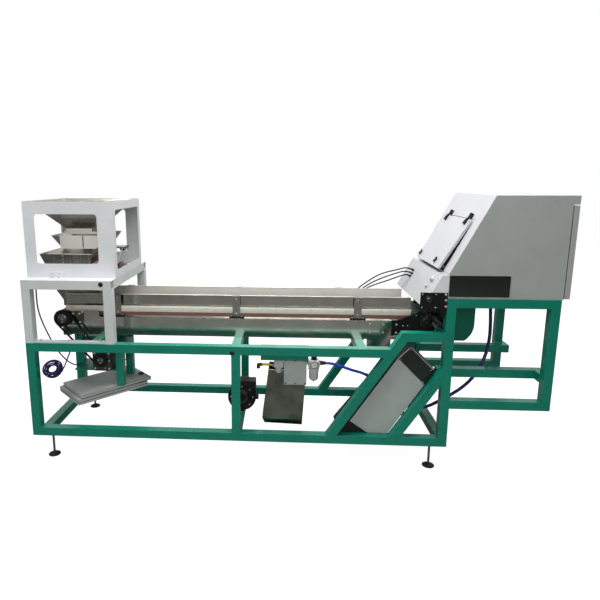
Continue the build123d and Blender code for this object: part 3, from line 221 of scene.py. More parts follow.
def stainless(name, colour, smear, along=RIGHT, rough=(0.16, 0.34), line_mm=1.2, corner_mm=1.0, metal=1.0):
    material, place, cloud, tint = patchy(name, colour, smear, CLOUD_MM, detail=4.0, soft=0.6,
                                          share=(0.4, 0.72, 0.55))
    tree = material.node_tree
    stretch = tuple(LINES_ALONG if part else 1000 / line_mm for part in along)
    grain_place = node(tree, "ShaderNodeMapping", {"Vector": place, "Scale": stretch})
    grain = node(tree, "ShaderNodeTexNoise", {
        "Vector": grain_place, "Scale": 1.0, "Detail": 2.0})
    mixed = node(tree, "ShaderNodeMath", {0: grain, 1: cloud}, operation="MULTIPLY")
    polish = node(tree, "ShaderNodeMapRange", {
        "Value": mixed, "From Min": 0.12, "From Max": 0.42, "To Min": rough[0], "To Max": rough[1]})
    return shaded(material, grain, strength=0.08, depth_mm=0.2, corner_mm=corner_mm, inputs={
        "Base Color": tint, "Roughness": polish, "Metallic": metal})


steel_long = stainless("brushed stainless along the belt", "#b9b7b0", "#94928b", rough=(0.12, 0.26))
# A lightened stainless, painted light: a painted reflection on the far skirt and painted highlights along the
# folded and rolled edges that use it.
sheen_lightened_steel = stainless("stainless lightened as painted sheen", "#eae4dc", "#d6d0c8", rough=(0.42, 0.6),
                        metal=0.45)
steel_dark = stainless("bright annealed stainless", "#5a5c56", "#45463f", along=UP, rough=(0.05, 0.16))
# The bin's near-black patches on mirror-bright sheet are painted dark reflections.
bin_steel_painted_reflections = stainless("stainless with painted dark reflections", "#71756c", "#0f110d", along=UP, rough=(0.04, 0.3), line_mm=9.0)
steel_upright = stainless("brushed stainless upright", "#a8a59d", "#827f78", along=UP)
steel_deep = stainless("brushed stainless across the belt", "#b3b1aa", "#8d8b84", along=FAR)
# A lighter copy of the tray stainless for faces turned to the front: painted front light.
front_lit_tray_steel = stainless("tray stainless lightened as painted front light", "#f2ece6", "#e2dcd5", along=UP, rough=(0.4, 0.58),
                        line_mm=2.0, metal=0.25)
bright_zinc = stainless("bright zinc plate", "#b9bcb8", "#8f918c", rough=(0.24, 0.42), line_mm=3.0,
                        corner_mm=0.6)
roller_steel = stainless("turned steel", "#9d9d99", "#6e6e6a", along=FAR, rough=(0.22, 0.4))
stem_steel = stainless("dark oiled steel", "#5c5d5b", "#3a3b3a", along=UP, rough=(0.25, 0.42))
brass = stainless("drawn brass", "#b08a3c", "#86652a", rough=(0.2, 0.38), line_mm=2.0, corner_mm=0.6)
chrome = stainless("chromed brass", "#c9cbca", "#a7a9a8", rough=(0.08, 0.18), line_mm=3.0, corner_mm=0.6)
print("with metals", len(bpy.data.materials))

# %% [markdown]
# Moulded plastics and rubbers are matt because the mould is etched: the skin is a field of tiny bumps under
# a millimetre wide. Hard plastic keeps a soft sheen, rubber hardly any. One function serves both, with the
# grain size and the shine as its inputs. Handling polishes hard plastic in patches.

# %% Finish: moulded plastic and rubber
HANDLED_MM = 45.0


def moulded(name, colour, rubbed, rough=(0.4, 0.55), grain_mm=1.0, depth=0.2, coat=0.0, shine=0.5):
    material, place, patch, tint = patchy(name, colour, rubbed, HANDLED_MM, detail=4.0, soft=0.5,
                                          share=(0.45, 0.75, 0.6))
    tree = material.node_tree
    grain = node(tree, "ShaderNodeTexVoronoi", {"Vector": place, "Scale": 1000 / grain_mm})
    sheen = node(tree, "ShaderNodeMapRange", {
        "Value": patch, "From Min": 0.3, "From Max": 0.7, "To Min": rough[1], "To Max": rough[0]})
    return shaded(material, grain, strength=depth, depth_mm=0.2, corner_mm=0, inputs={
        "Base Color": tint, "Roughness": sheen, "IOR": 1.49, "Coat Weight": coat,
        "Specular IOR Level": shine})


black_plastic = moulded("black moulded nylon", "#0b0c0d", "#191b1c", shine=0.3)
black_rubber = moulded("black rubber", "#0b0c0d", "#171819", rough=(0.6, 0.8), grain_mm=1.6, depth=0.35,
                       shine=0.25)
# The seal's red-brown and the rail's white are partly painted light: a bright highlight band along the belt's
# edge and a dark shade band under it.
brown_seal_shade = moulded("red brown gum rubber, partly painted shade", "#6b4a42", "#7d5c52", rough=(0.5, 0.7), grain_mm=1.4, depth=0.3)
white_rail_highlight = moulded("white polyethylene rail, partly painted highlight", "#d8d2c6", "#c4bdb0", rough=(0.32, 0.48), grain_mm=1.5,
                     depth=0.08)
cable_jacket = moulded("black cable jacket", "#0a0b0c", "#161718", rough=(0.34, 0.5), shine=0.35)
navy_tube = moulded("navy polyurethane tube", "#18175e", "#242474", rough=(0.34, 0.48), depth=0.04,
                    coat=0.08, shine=0.35)
bright_tube = moulded("blue polyurethane hose", "#2436b0", "#3a4cc4", rough=(0.18, 0.3), depth=0.04, coat=0.3)
# The belt is dark, so what shows through the skirt slots reads dark: partly a painted shade behind the slots.
belt_dark = moulded("dark green belt cover", "#2b3a34", "#3a4842", rough=(0.42, 0.6), grain_mm=2.0, depth=0.3)
anodised_black = moulded("black anodised aluminium", "#08090a", "#141516", rough=(0.28, 0.42), grain_mm=0.8,
                         depth=0.08, shine=0.25)
screen_black = moulded("dark panel film", "#16211a", "#1d2a22", rough=(0.16, 0.28), depth=0.03, coat=0.15,
                       shine=0.35)
tinted_pane = moulded("dark tinted acrylic", "#171b16", "#1c201b", rough=(0.03, 0.08), depth=0.0, coat=1.0)
lamp_white = moulded("frosted lamp tube", "#dfe3e6", "#cfd4d8", rough=(0.3, 0.4), depth=0.05)
dial_white = moulded("enamelled dial", "#dcdedb", "#cfd1ce", rough=(0.3, 0.4), depth=0.02)
bowl_clear = moulded("frosted polycarbonate", "#aeb4b4", "#c3c8c8", rough=(0.12, 0.22), depth=0.02, coat=0.5)
copper_wound = moulded("varnished copper winding", "#7a3f1d", "#94552b", rough=(0.25, 0.4), grain_mm=1.2,
                       depth=0.5)
spring_brown = moulded("brown glass laminate", "#5f4630", "#735840", rough=(0.45, 0.6), grain_mm=1.5,
                       depth=0.3)
print("all finishes", len(bpy.data.materials))

# %% [markdown]
# Each node of the model keeps its shape and gets the finish of the real piece; the hood's darker green and
# the control box's black case also paint shade. The list runs through the machine from the frame to the
# services, so that a piece without a finish would be noticed at once. Some nodes have two finishes: the
# second goes on the faces that a small rule picks by their place and direction. On the nose, the far skirt
# and the near faces of the feed tray and funnel the second finish is a lighter one: painted light.

# %% Finishes of the model's own nodes
finishes = {
    frame_green: ["near_side_frame", "far_side_frame", "head_stand", "cross_members"],
    hood_shade_green: ["discharge_hood"],
    hopper_white: ["hopper_housing", "feeder_deck", "leaf_springs"],
    stand_white: ["feeder_stand"],
    door_white: ["inspection_door"],
    nose_white: ["nose_housing"],
    cabinet_grey: ["cabinet_shell", "service_door"],
    plate_grey: ["hung_plates"],
    box_grey: ["valve_box"],
    steel_long: ["conveyor_sides", "skirts", "slider_bed"],
    steel_upright: ["hopper_funnel", "feed_chute", "gate_slide", "skirt_brackets", "spreader_tray"],
    bin_steel_painted_reflections: ["debris_bin"],
    steel_deep: ["feed_tray"],
    bright_zinc: ["levelling_feet", "frame_bolts"],
    roller_steel: ["drive_roller", "head_roller", "return_roller"],
    # The control box's black case is painted shade beside its pale cover.
    black_paint: ["control_box", "blower", "bearing_blocks", "hinge_brackets"],
    motor_paint: ["motor", "cameras"],
    black_plastic: ["gate_knob", "latch_near", "latch_far", "hinge_leaves", "regulator_knob", "skirt_feet"],
    black_rubber: ["v_belt"],
    anodised_black: ["head_plates", "optic_plates", "ejector_bar", "drive_pulley", "motor_pulley",
                     "filter_regulator"],
    belt_dark: ["belt"],
    tinted_pane: ["side_windows"],
    screen_black: ["control_screen"],
    lamp_white: ["lamps"],
    copper_wound: ["magnet_coil"],
    spring_brown: ["vibrator_base"],
}
for material, names in finishes.items():
    for name in names:
        nodes[name].data.materials.clear()
        nodes[name].data.materials.append(material)
NECK_TOP_M = 1.626
FACING, SLOPING, LEVEL = 0.7, 0.5, 0.9
second_finishes = [
    # Painted light: the nose's near faces, in shade, take a brighter white than its lit slope.
    ("nose_housing", hopper_white, lambda place, way: way.y < -FACING),
    ("cabinet_shell", slope_white, lambda place, way: way.x < -SLOPING or way.z > LEVEL),
    # The far skirt takes the lightened stainless: a painted reflection of the bright surround.
    ("skirts", sheen_lightened_steel, lambda place, way: place.y > 0),
    # The near faces of the feed tray and of the funnel's lower part take the lighter copy: painted front
    # light.
    ("feed_tray", front_lit_tray_steel, lambda place, way: way.y < -FACING),
    ("hopper_funnel", front_lit_tray_steel, lambda place, way: place.z < NECK_TOP_M and way.y < -FACING),
    ("bearing_blocks", steel_dark, lambda place, way: place.x < 0),
]
for name, material, wanted in second_finishes:
    mesh = nodes[name].data
    mesh.materials.append(material)
    chosen = [face for face in mesh.polygons if wanted(face.center, face.normal)]
    for face in chosen:
        face.material_index = 1
    print(name, len(chosen), "faces in", material.name)
dressed = [name for names in finishes.values() for name in names]
print("dressed", len(dressed), "left for cords", sorted(set(nodes) - set(dressed)))

# %% [markdown]
# Air tubes and cables are flexible, so each is one smooth NURBS curve through the same route points as the
# solid model, given a round section by the curve's bevel. Straight runs with rounded corners would look
# like bent wire; a spline of order three hangs the way a tube does. The order is set after the points,
# because Blender would otherwise fall back to straight runs. A drawn piece stands in for its solid, which
# is hidden.

# %% One cord
def cord_curve(name, route, diameter_mm, material):
    curve = bpy.data.curves.new(name, "CURVE")
    curve.dimensions = "3D"
    line = curve.splines.new("NURBS")
    line.points.add(len(route) - 1)
    for point, place in zip(line.points, route):
        point.co = (*spot(*place), 1.0)
    line.order_u = 3
    line.use_endpoint_u = True
    curve.resolution_u = 10
    curve.bevel_depth = diameter_mm / 2000
    curve.bevel_resolution = 5
    curve.use_fill_caps = True
    curve.materials.append(material)
    piece = put(name, curve)
    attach(piece, "machine")
    return piece


def stand_in(solid, *pieces):
    for piece in pieces:
        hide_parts(solid)


print("cords stand for", [name for name in sorted(nodes) if name not in dressed])

# %% [markdown]
# Every cord is listed with its real facts: the node it stands in for, its finish, its thickness, its length
# and its route from where it leaves the machine. These seven go from one part of the machine into another.

# %% Cords and their facts
cords = [
    ("feeder_air_tube", "feeder_tube", navy_tube, 10, 0.891, [
        (70, 74, 1296), (70, 74, 1240), (67, 77, 1168), (64, 86, 1084), (72, 106, 1000), (86, 140, 906),
        (102, 184, 808), (122, 234, 712), (146, 286, 634), (172, 330, 584), (202, 384, 550),
        (202, 420, 550)]),
    ("regulator_air_hose", "blue_hose", bright_tube, 20, 0.390, [
        (2074, 118, 708), (2112.6, 118, 708), (2164.2, 128, 696), (2224.8, 143, 670), (2291.1, 158, 642),
        (2352, 172, 622), (2392.8, 178, 602.5), (2429.7, 178, 575)]),
    ("head_air_hose", "head_hose", navy_tube, 24, 1.355, [
        (3312, 435, 1206), (3312, 435, 1130), (3319, 434, 1030), (3327, 432, 920), (3327, 426, 812),
        (3309, 416, 706), (3269, 398, 606), (3205, 370, 520), (3121, 334, 458), (3030, 300, 414),
        (2943, 268, 380), (2864, 236, 354), (2786, 208, 346), (2712.1, 190, 366.1), (2656, 190, 407.9)]),
    ("nose_cable_1", "nose_cables", cable_jacket, 10, 0.633, [
        (2788.4, 604, 1290), (2759.9, 604, 1304.6), (2722, 604, 1312), (2682, 604, 1300), (2635, 604, 1288),
        (2580, 605, 1275), (2520, 606, 1252), (2465, 607, 1217), (2414, 609, 1180), (2370, 614, 1142),
        (2340, 620, 1100), (2326, 624, 1056), (2325, 624, 1018), (2325, 624, 988)]),
    ("nose_cable_2", "nose_cables", cable_jacket, 10, 0.582, [
        (2776.5, 588, 1268), (2748, 588, 1282.6), (2705, 590, 1286), (2655, 592, 1270), (2600, 596, 1250),
        (2545, 600, 1228), (2490, 606, 1200), (2440, 612, 1170), (2398, 618, 1134), (2366, 622, 1092),
        (2346, 624, 1050), (2340, 624, 1015), (2340, 624, 988)]),
    ("nose_cable_3", "nose_cables", cable_jacket, 10, 0.540, [
        (2764.6, 600, 1246), (2736.1, 600, 1260.6), (2690, 601, 1248), (2634, 602, 1226), (2578, 605, 1204),
        (2522, 608, 1184), (2468, 612, 1162), (2424, 617, 1136), (2388, 621, 1106), (2364, 624, 1068),
        (2356, 624, 1024), (2356, 624, 988)]),
    ("optic_cable", "nose_cables", cable_jacket, 6, 0.163, [
        (2730, 5, 1133), (2730, 5, 1119), (2740, 7, 1105), (2760, 9, 1095), (2780, 13, 1086),
        (2802, 18, 1080), (2824, 25, 1077), (2846, 29, 1076), (2865, 29, 1076)]),
]
for name, solid, material, thick, length, route in cords:
    piece = cord_curve(name, route, thick, material)
    stand_in(solid, piece)
print("cords", [(name, len(route)) for name, solid, material, thick, length, route in cords])

# %% [markdown]
# The spare air tube hangs in a hank beside the left post: eight loops on a narrow ring, each a little
# larger or smaller than the last as the ring's section is filled, and then a lead up to the conveyor. The
# loops are more points of the same spline, sixteen a turn, so the hank and its lead are one tube.

# %% Air coil
COIL_LOOPS = 8
COIL_POINTS = 16
COIL_RADIUS = 52
COIL_THICK = 19
coil_centre = Vector((112, 142, 612))
across = Vector((1, 0, -0.08)).normalized()
lean_back = Vector((0, 0.75, 0.66)).normalized()
ring_axis = across.cross(lean_back).normalized()
coil_route = [(270, 256, 853), (269.8, 255.6, 842), (268, 252, 831), (264, 244, 812), (244, 228, 774),
              (222, 212, 726), (204, 196, 676), (190, 178, 628)]
for k in range(COIL_LOOPS * COIL_POINTS, -1, -1):
    angle = 2 * math.pi * k / COIL_POINTS
    drift = angle / (COIL_LOOPS + 1)
    radius = COIL_RADIUS + COIL_THICK * math.cos(drift)
    flat = radius * (across * math.cos(angle) + lean_back * math.sin(angle))
    coil_route.append(tuple(coil_centre + flat + ring_axis * (COIL_THICK * math.sin(drift))))
air_coil = cord_curve("air_coil_tube", coil_route, 10, navy_tube)
print("coil points", len(coil_route))

# %% [markdown]
# Most small hardware is turned or sawn: a profile spun round an axis, or a block with its edges broken. Two
# helpers add such shapes to a mesh, or start one. A rod is the commonest profile, with both ends chamfered.
# The last helper closes the mesh, turns its faces outward, keeps the sharp edges sharp and hands the piece
# to a body of the machine.

# %% Turned and sawn shapes
def lathe(profile, place, way, sides=24, shape=None):
    shape = bmesh.new() if shape is None else shape
    turn = Vector(way).to_track_quat("Z", "Y")
    angles = [2 * math.pi * k / sides for k in range(sides)]
    rings = []
    for along, radius in profile:
        offsets = [Vector((radius * math.cos(a), radius * math.sin(a), along)) / 1000 for a in angles]
        rings.append([shape.verts.new(spot(*place) + turn @ offset) for offset in offsets])
    for low, high in zip(rings, rings[1:]):
        for k in range(sides):
            shape.faces.new((low[k - 1], low[k], high[k], high[k - 1]))
    shape.faces.new(list(reversed(rings[0])))
    shape.faces.new(rings[-1])
    return shape


def rod(place, way, long, radius, sides, shape=None, edge=(1, 0.6)):
    step, inset = edge
    profile = [(0, radius - inset), (step, radius), (long - step, radius), (long, radius - inset)]
    return lathe(profile, place, way, sides, shape)


def slab(low, high, edge_mm=1.0, shape=None):
    shape = bmesh.new() if shape is None else shape
    low, high = spot(*low), spot(*high)
    made = bmesh.ops.create_cube(shape, size=1.0)["verts"]
    bmesh.ops.scale(shape, vec=high - low, verts=made)
    edges = list({edge for vert in made for edge in vert.link_edges})
    cut = bmesh.ops.bevel(shape, geom=edges, offset=edge_mm / 1000, segments=2, affect="EDGES", profile=0.5)
    corners = list({vert for face in cut["faces"] for vert in face.verts})
    bmesh.ops.translate(shape, vec=(low + high) / 2, verts=corners)
    return shape


def set_piece(name, shape, material, body="machine", sharp_deg=35):
    bmesh.ops.recalc_face_normals(shape, faces=shape.faces)
    mesh = bpy.data.meshes.new(name)
    shape.to_mesh(mesh)
    shape.free()
    mesh.shade_smooth()
    mesh.set_sharp_from_angle(angle=math.radians(sharp_deg))
    mesh.materials.append(material)
    piece = put(name, mesh)
    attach(piece, body)
    print(name, len(mesh.polygons), "faces on", body)
    return piece


trial = rod((0, 0, 0), UP, long=10, radius=5, sides=24)
print("a rod of 24 sides has", len(trial.faces), "faces")
trial.free()

# %% [markdown]
# The hank's free end is closed by a push-in plug, so the far end of that cord is a fitting. A real plug is
# turned from bar; here one profile, spun round the tube's end, gives its collar and neck.

# %% Coil plug
plug_profile = [(-9, 5.0), (-8, 6.4), (-1, 6.4), (0, 5.6), (4, 5.6), (5, 7.2), (13, 7.2), (14, 6.0)]
coil_plug = set_piece("air_coil_plug", lathe(plug_profile, coil_route[-1], -lean_back), black_plastic)
stand_in("air_coil", air_coil)

# %% [markdown]
# Screws, bolts, ribs and fins are the same shape many times over, which is what Geometry Nodes are for. A
# mesh of bare points says where each one sits; two attributes on the points say which way it faces and how
# it is turned. The tree builds one shape from named sizes, sets it out on the points, and makes it real,
# because instances would be lost when the part is exported. The result is then kept as a plain mesh.

# %% Trees that set a shape out on points
def new_tree(name, sizes):
    tree = bpy.data.node_groups.new(name, "GeometryNodeTree")
    ports = [("Places", "Geometry"), *[(size, "Float") for size in sizes], ("Finish", "Material")]
    for label, kind in ports:
        tree.interface.new_socket(label, in_out="INPUT", socket_type="NodeSocket" + kind)
    tree.interface.new_socket("Hardware", in_out="OUTPUT", socket_type="NodeSocketGeometry")
    return tree, node(tree, "NodeGroupInput").outputs


def stacked(tree, layers):
    parts = []
    level = None
    for sides, low, high, tall in layers:
        ring = node(tree, "GeometryNodeMeshCone", {
            "Vertices": sides, "Radius Bottom": low, "Radius Top": high, "Depth": tall})
        if level is not None:
            up = node(tree, "ShaderNodeCombineXYZ", {"Z": level})
            ring = node(tree, "GeometryNodeTransform", {"Geometry": ring, "Translation": up})
            tall = node(tree, "ShaderNodeMath", {0: level, 1: tall}, operation="ADD")
        parts.append(ring)
        level = tall
    return parts


def make_real(tree, given, many):
    real = node(tree, "GeometryNodeRealizeInstances", {"Geometry": many})
    done = node(tree, "GeometryNodeSetMaterial", {"Geometry": real, "Material": given["Finish"]})
    node(tree, "NodeGroupOutput", {0: done})


def set_out(tree, given, parts):
    whole = node(tree, "GeometryNodeJoinGeometry", {"Geometry": parts})
    way, along = [node(tree, "GeometryNodeInputNamedAttribute", {"Name": label}, data_type="FLOAT_VECTOR")
                  for label in ("way", "along")]
    up = node(tree, "FunctionNodeAlignRotationToVector", {"Vector": way}, axis="Z")
    turned = node(tree, "FunctionNodeAlignRotationToVector",
                  {"Rotation": up, "Vector": along}, axis="X", pivot_axis="Z")
    many = node(tree, "GeometryNodeInstanceOnPoints", {
        "Points": given["Places"], "Instance": whole, "Rotation": turned})
    make_real(tree, given, many)


print("trees so far", len(bpy.data.node_groups))

# %% [markdown]
# `grow` lays down the points, runs a tree on them and keeps the mesh. A kind of hardware is a tree with its
# sizes. `rows` lists places on a grid that all face one way, and `both_sides` mirrors them to the far side.

# %% Hardware grown on points
def grow(name, kind, places, material=bright_zinc, body="machine", edges=()):
    tree, sizes_mm = kind
    mesh = bpy.data.meshes.new(name + "_places")
    mesh.from_pydata([spot(*place[0]) for place in places], edges, [])
    for label, column in (("way", 1), ("along", 2)):
        values = mesh.attributes.new(label, "FLOAT_VECTOR", "POINT").data
        for value, place in zip(values, places):
            sideways = RIGHT if abs(place[1][0]) < 0.9 else FAR
            value.vector = place[column] if len(place) > column else sideways
    piece = put(name, mesh)
    step = piece.modifiers.new("grow", "NODES")
    step.node_group = tree
    for port in tree.interface.items_tree:
        if port.name in sizes_mm:
            step[port.identifier] = sizes_mm[port.name] / 1000
        elif port.name == "Finish":
            step[port.identifier] = material
    grown = bpy.data.meshes.new_from_object(piece.evaluated_get(bpy.context.evaluated_depsgraph_get()))
    piece.modifiers.remove(step)
    piece.data = grown
    grown.name = name
    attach(piece, body)
    print(name, len(places), "places on", body)
    return piece


def rows(xs, ys, zs, way):
    return [((x, y, z), way) for x in xs for y in ys for z in zs]


def both_sides(xs, near, far, zs):
    return rows(xs, [near], zs, NEAR) + rows(xs, [far], zs, FAR)


print("a grid of", len(both_sides((0, 1), 0, 870, (0, 1, 2))), "places")

# %% [markdown]
# A hexagon bolt on its washer: three stacked rings of 18, 6 and 12 sides. The last is the turned crown that
# bevels the six corners of a real bolt head. All bolts share one tree and differ only in the inputs.

# %% Hexagon bolts
BOLT = ["Washer radius", "Washer height", "Corner radius", "Head height", "Crown radius", "Crown height"]
CROWN_TAPER = 0.86
bolt_tree, given = new_tree("hexagon bolt", BOLT)
washer, corner, crown = given["Washer radius"], given["Corner radius"], given["Crown radius"]
crown_top = node(bolt_tree, "ShaderNodeMath", {0: crown, 1: CROWN_TAPER}, operation="MULTIPLY")
set_out(bolt_tree, given, stacked(bolt_tree, [
    (18, washer, washer, given["Washer height"]), (6, corner, corner, given["Head height"]),
    (12, crown, crown_top, given["Crown height"])]))
M10, M8, M6 = [(bolt_tree, dict(zip(BOLT, sizes))) for sizes in (
    (10.5, 2, 9.2, 5.4, 8, 1), (8.5, 1.6, 7.4, 4.4, 6.5, 0.9), (6.4, 1.4, 5.6, 3.4, 4.9, 0.7))]
BEAM_MIDDLES = (30, 840)
SIDE_PLATES = (224, 646)
stand_bolts = grow("stand_bolts", M10, rows((100, 300, 525), BEAM_MIDDLES, [865], UP))
web_bolts = grow("web_bolts", M8, both_sides((2408, 2502, 2594), *SIDE_PLATES, (903, 963)))
stand_in("frame_bolts", stand_bolts, web_bolts)

# %% [markdown]
# Small panel screws have a low round head with a cross recess. The head is two stacked rings, and the
# recess is cut out of it once with a boolean before it is set out, so every copy already has it.

# %% Cross-recess screws
SCREW = ["Head radius", "Rim height", "Dome radius", "Dome height", "Recess length", "Recess width"]
screw_tree, given = new_tree("cross recess screw", SCREW)
rim, dome = given["Rim height"], given["Dome height"]
head = node(screw_tree, "GeometryNodeJoinGeometry", {"Geometry": stacked(screw_tree, [
    (14, given["Head radius"], given["Head radius"], rim),
    (14, given["Head radius"], given["Dome radius"], dome)])})
head_top = node(screw_tree, "ShaderNodeMath", {0: rim, 1: dome}, operation="ADD")
head_top = node(screw_tree, "ShaderNodeCombineXYZ", {"Z": head_top})
bars = []
for first, second in (("Recess length", "Recess width"), ("Recess width", "Recess length")):
    size = node(screw_tree, "ShaderNodeCombineXYZ", {"X": given[first], "Y": given[second], "Z": dome})
    cube = node(screw_tree, "GeometryNodeMeshCube", {"Size": size})
    raised = node(screw_tree, "GeometryNodeTransform", {"Geometry": cube, "Translation": head_top})
    bars.append(raised)
cut_head = node(screw_tree, "GeometryNodeMeshBoolean", {"Mesh 1": head, "Mesh 2": bars},
                operation="DIFFERENCE")
set_out(screw_tree, given, [cut_head])
M5, M4 = [(screw_tree, dict(zip(SCREW, sizes))) for sizes in (
    (5, 1.2, 3.4, 1.4, 5, 1.1), (4, 1, 2.7, 1.1, 4, 0.9))]
print("screw heads", M5[1]["Head radius"], M4[1]["Head radius"])

# %% [markdown]
# Folded plates are flat outlines with a thickness. `prism` joins two equal outlines in space. `plate` draws
# one that faces the long side, from points read along the machine and upward. `strip` gives the outline of
# a narrow band to the right of a line.

# %% Plates cut to an outline
def prism(first, second, shape=None):
    shape = bmesh.new() if shape is None else shape
    front, back = [[shape.verts.new(spot(*place)) for place in outline] for outline in (first, second)]
    shape.faces.new(front)
    shape.faces.new(list(reversed(back)))
    for k in range(len(front)):
        shape.faces.new((front[k - 1], back[k - 1], back[k], front[k]))
    return shape


def plate(outline, front, back, shape=None):
    return prism([(x, front, z) for x, z in outline], [(x, back, z) for x, z in outline], shape)


def strip(start, stop, width):
    start, stop = Vector(start), Vector(stop)
    run = (stop - start).normalized()
    side = Vector((run.y, -run.x)) * width
    return [start, stop, stop + side, start + side]


# %% [markdown]
# Along both edges of the belt runs a rail of white polyethylene, with a strip of red-brown gum rubber under
# it that seals the bed. Their colours are partly painted light: the white gives a bright band of highlight
# along the belt's edge, the red-brown a dark band of shade under it. Both are long square sections, so a
# block with broken edges is enough. The rail is butted in the middle of the machine and screwed every two
# hundred and fifty millimetres. The skirts' top edges are folded back; a thin rod gives the same round bright
# line as the fold, and its pale steel is a painted highlight.

# %% Belt edge rails, seals and skirt hems
RAIL_LEFT, RAIL_JOINT, RAIL_RIGHT = 192, 1445, 2698
RAIL_NEAR, RAIL_FAR = 253.4, 616.6
RAIL_THICK = 8
RAIL_SCREW_STEP = 250
rails, seals, hems = bmesh.new(), bmesh.new(), bmesh.new()
for front, hem in ((RAIL_NEAR, 284), (RAIL_FAR - RAIL_THICK, 586)):
    back = front + RAIL_THICK
    for start, stop in ((RAIL_LEFT, RAIL_JOINT - 1), (RAIL_JOINT + 1, RAIL_RIGHT)):
        slab((start, front, 1024), (stop, back, 1066), edge_mm=1.6, shape=rails)
    slab((RAIL_LEFT, front + 2.4, 996), (RAIL_RIGHT, back - 0.4, 1025), shape=seals)
    rod((190.5, hem, 1147.4), RIGHT, long=2509, radius=2.8, sides=12, shape=hems)
set_piece("belt_edge_rails", rails, white_rail_highlight)
set_piece("belt_edge_seals", seals, brown_seal_shade)
set_piece("skirt_hems", hems, sheen_lightened_steel)
grow("rail_screws", M5, both_sides(range(240, RAIL_RIGHT, RAIL_SCREW_STEP), RAIL_NEAR, RAIL_FAR, [1055]))

# %% [markdown]
# Each skirt hangs on three folded brackets. A bracket is bolted through the skirt near its top and through
# its black foot below, and the foot is bolted down to the side plate's flange. All places follow from each
# bracket's left edge, so one loop serves both sides.

# %% Skirt bracket bolts
BRACKET_WIDTH = 54
FOOT_BOLT_OUT = 12
bracket_places = []
for starts, face, foot_row, way in (((555, 1427, 2296), 251, 242, NEAR), ((555, 1427, 2196), 619, 628, FAR)):
    for start in starts:
        bracket_places += rows([start + BRACKET_WIDTH / 2], [face], (1128, 1020), way)
        bracket_places += rows((start - FOOT_BOLT_OUT, start + BRACKET_WIDTH + FOOT_BOLT_OUT), [foot_row],
                               [1003], UP)
grow("bracket_bolts", M6, bracket_places)

# %% [markdown]
# The levelling feet are a black pressed disc, a steel stem with a coarse thread and a lock nut under the
# beam. The thread is a real helix: a spiral curve with a three-sided profile swept along it, over a plain
# core.

# %% Levelling feet
thread_tree, given = new_tree("threaded stem", ["Stem radius", "Stem height", "Pitch", "Thread depth"])
stem_radius, stem_height = given["Stem radius"], given["Stem height"]
turns = node(thread_tree, "ShaderNodeMath", {0: stem_height, 1: given["Pitch"]}, operation="DIVIDE")
core = node(thread_tree, "GeometryNodeMeshCone", {
    "Vertices": 16, "Radius Top": stem_radius, "Radius Bottom": stem_radius, "Depth": stem_height})
helix = node(thread_tree, "GeometryNodeCurveSpiral", {
    "Resolution": 14, "Rotations": turns, "Start Radius": stem_radius, "End Radius": stem_radius,
    "Height": stem_height})
ridge = node(thread_tree, "GeometryNodeCurvePrimitiveCircle", {
    "Resolution": 3, "Radius": given["Thread depth"]})
thread = node(thread_tree, "GeometryNodeCurveToMesh", {
    "Curve": helix, "Profile Curve": ridge, "Fill Caps": True})
set_out(thread_tree, given, [core, thread])
stem = (thread_tree, {"Stem radius": 7.2, "Stem height": 139, "Pitch": 2.6, "Thread depth": 1.0})
foot_places = rows((134, 2819), BEAM_MIDDLES, [20], UP)
stems = grow("foot_stems", stem, foot_places, stem_steel)
disc_profile = [(0, 38), (0.6, 41), (2.2, 41.8), (5.4, 41.8), (6.4, 41), (9, 34), (13, 23), (16, 16.5),
                (19, 13.5), (22.4, 12.4), (23, 11)]
discs, nuts = bmesh.new(), bmesh.new()
for (x, y, z), way in foot_places:
    lathe(disc_profile, (x, y, 0), UP, sides=40, shape=discs)
    rod((x, y, 147), UP, long=13, radius=13.6, sides=6, shape=nuts, edge=(1.4, 2.2))
stand_in("levelling_feet", stems, set_piece("foot_discs", discs, black_rubber),
         set_piece("foot_nuts", nuts, bright_zinc, sharp_deg=25))

# %% [markdown]
# Where the frame has a drilled hole, a black snap-in plug closes it: a shallow dome with a thin rim, turned
# because it is round. One bolt shows at each side inside the left end beam, and the upper of the two plates
# under the tail has a black buffer.

# %% Hole plugs and odd bolts
FRAME_DEPTH = 870
UPPER_PLATE = (437, 364)
dome_profile = [(0, 16), (0.8, 16.4), (1.8, 15.8), (2.6, 13.6), (3.2, 9), (3.4, 3)]
plugs = bmesh.new()
for x, z in ((558, 1274), (1447, 807)):
    lathe(dome_profile, (x, 0, z), NEAR, sides=32, shape=plugs)
    lathe(dome_profile, (x, FRAME_DEPTH, z), FAR, sides=32, shape=plugs)
plate_long, plate_short = Vector((1, 1, 0)).normalized(), Vector((-1, 1, 0)).normalized()
buffer_place = Vector((*UPPER_PLATE, 450)) + 250 * plate_long - 70 * plate_short
lathe([(0, 21), (3, 23), (8, 23), (11, 20), (12.5, 12), (13, 4)], buffer_place, UP, sides=32, shape=plugs)
set_piece("hole_plugs", plugs, black_plastic)
grow("end_beam_bolts", M10, rows([60], (176, 694), [190], RIGHT))

# %% [markdown]
# The lower tray's front is two sheets lapped at a rivet line, and the upper tray's front has a lapped joint
# too. A lap is a thin plate on the sheet, because a real step catches the light where a drawn line would
# not. Both trays have rolled edges. They hang on white leaf springs that are clamped between plates at both
# ends and stand on a brown board, with a rubber buffer beside it.

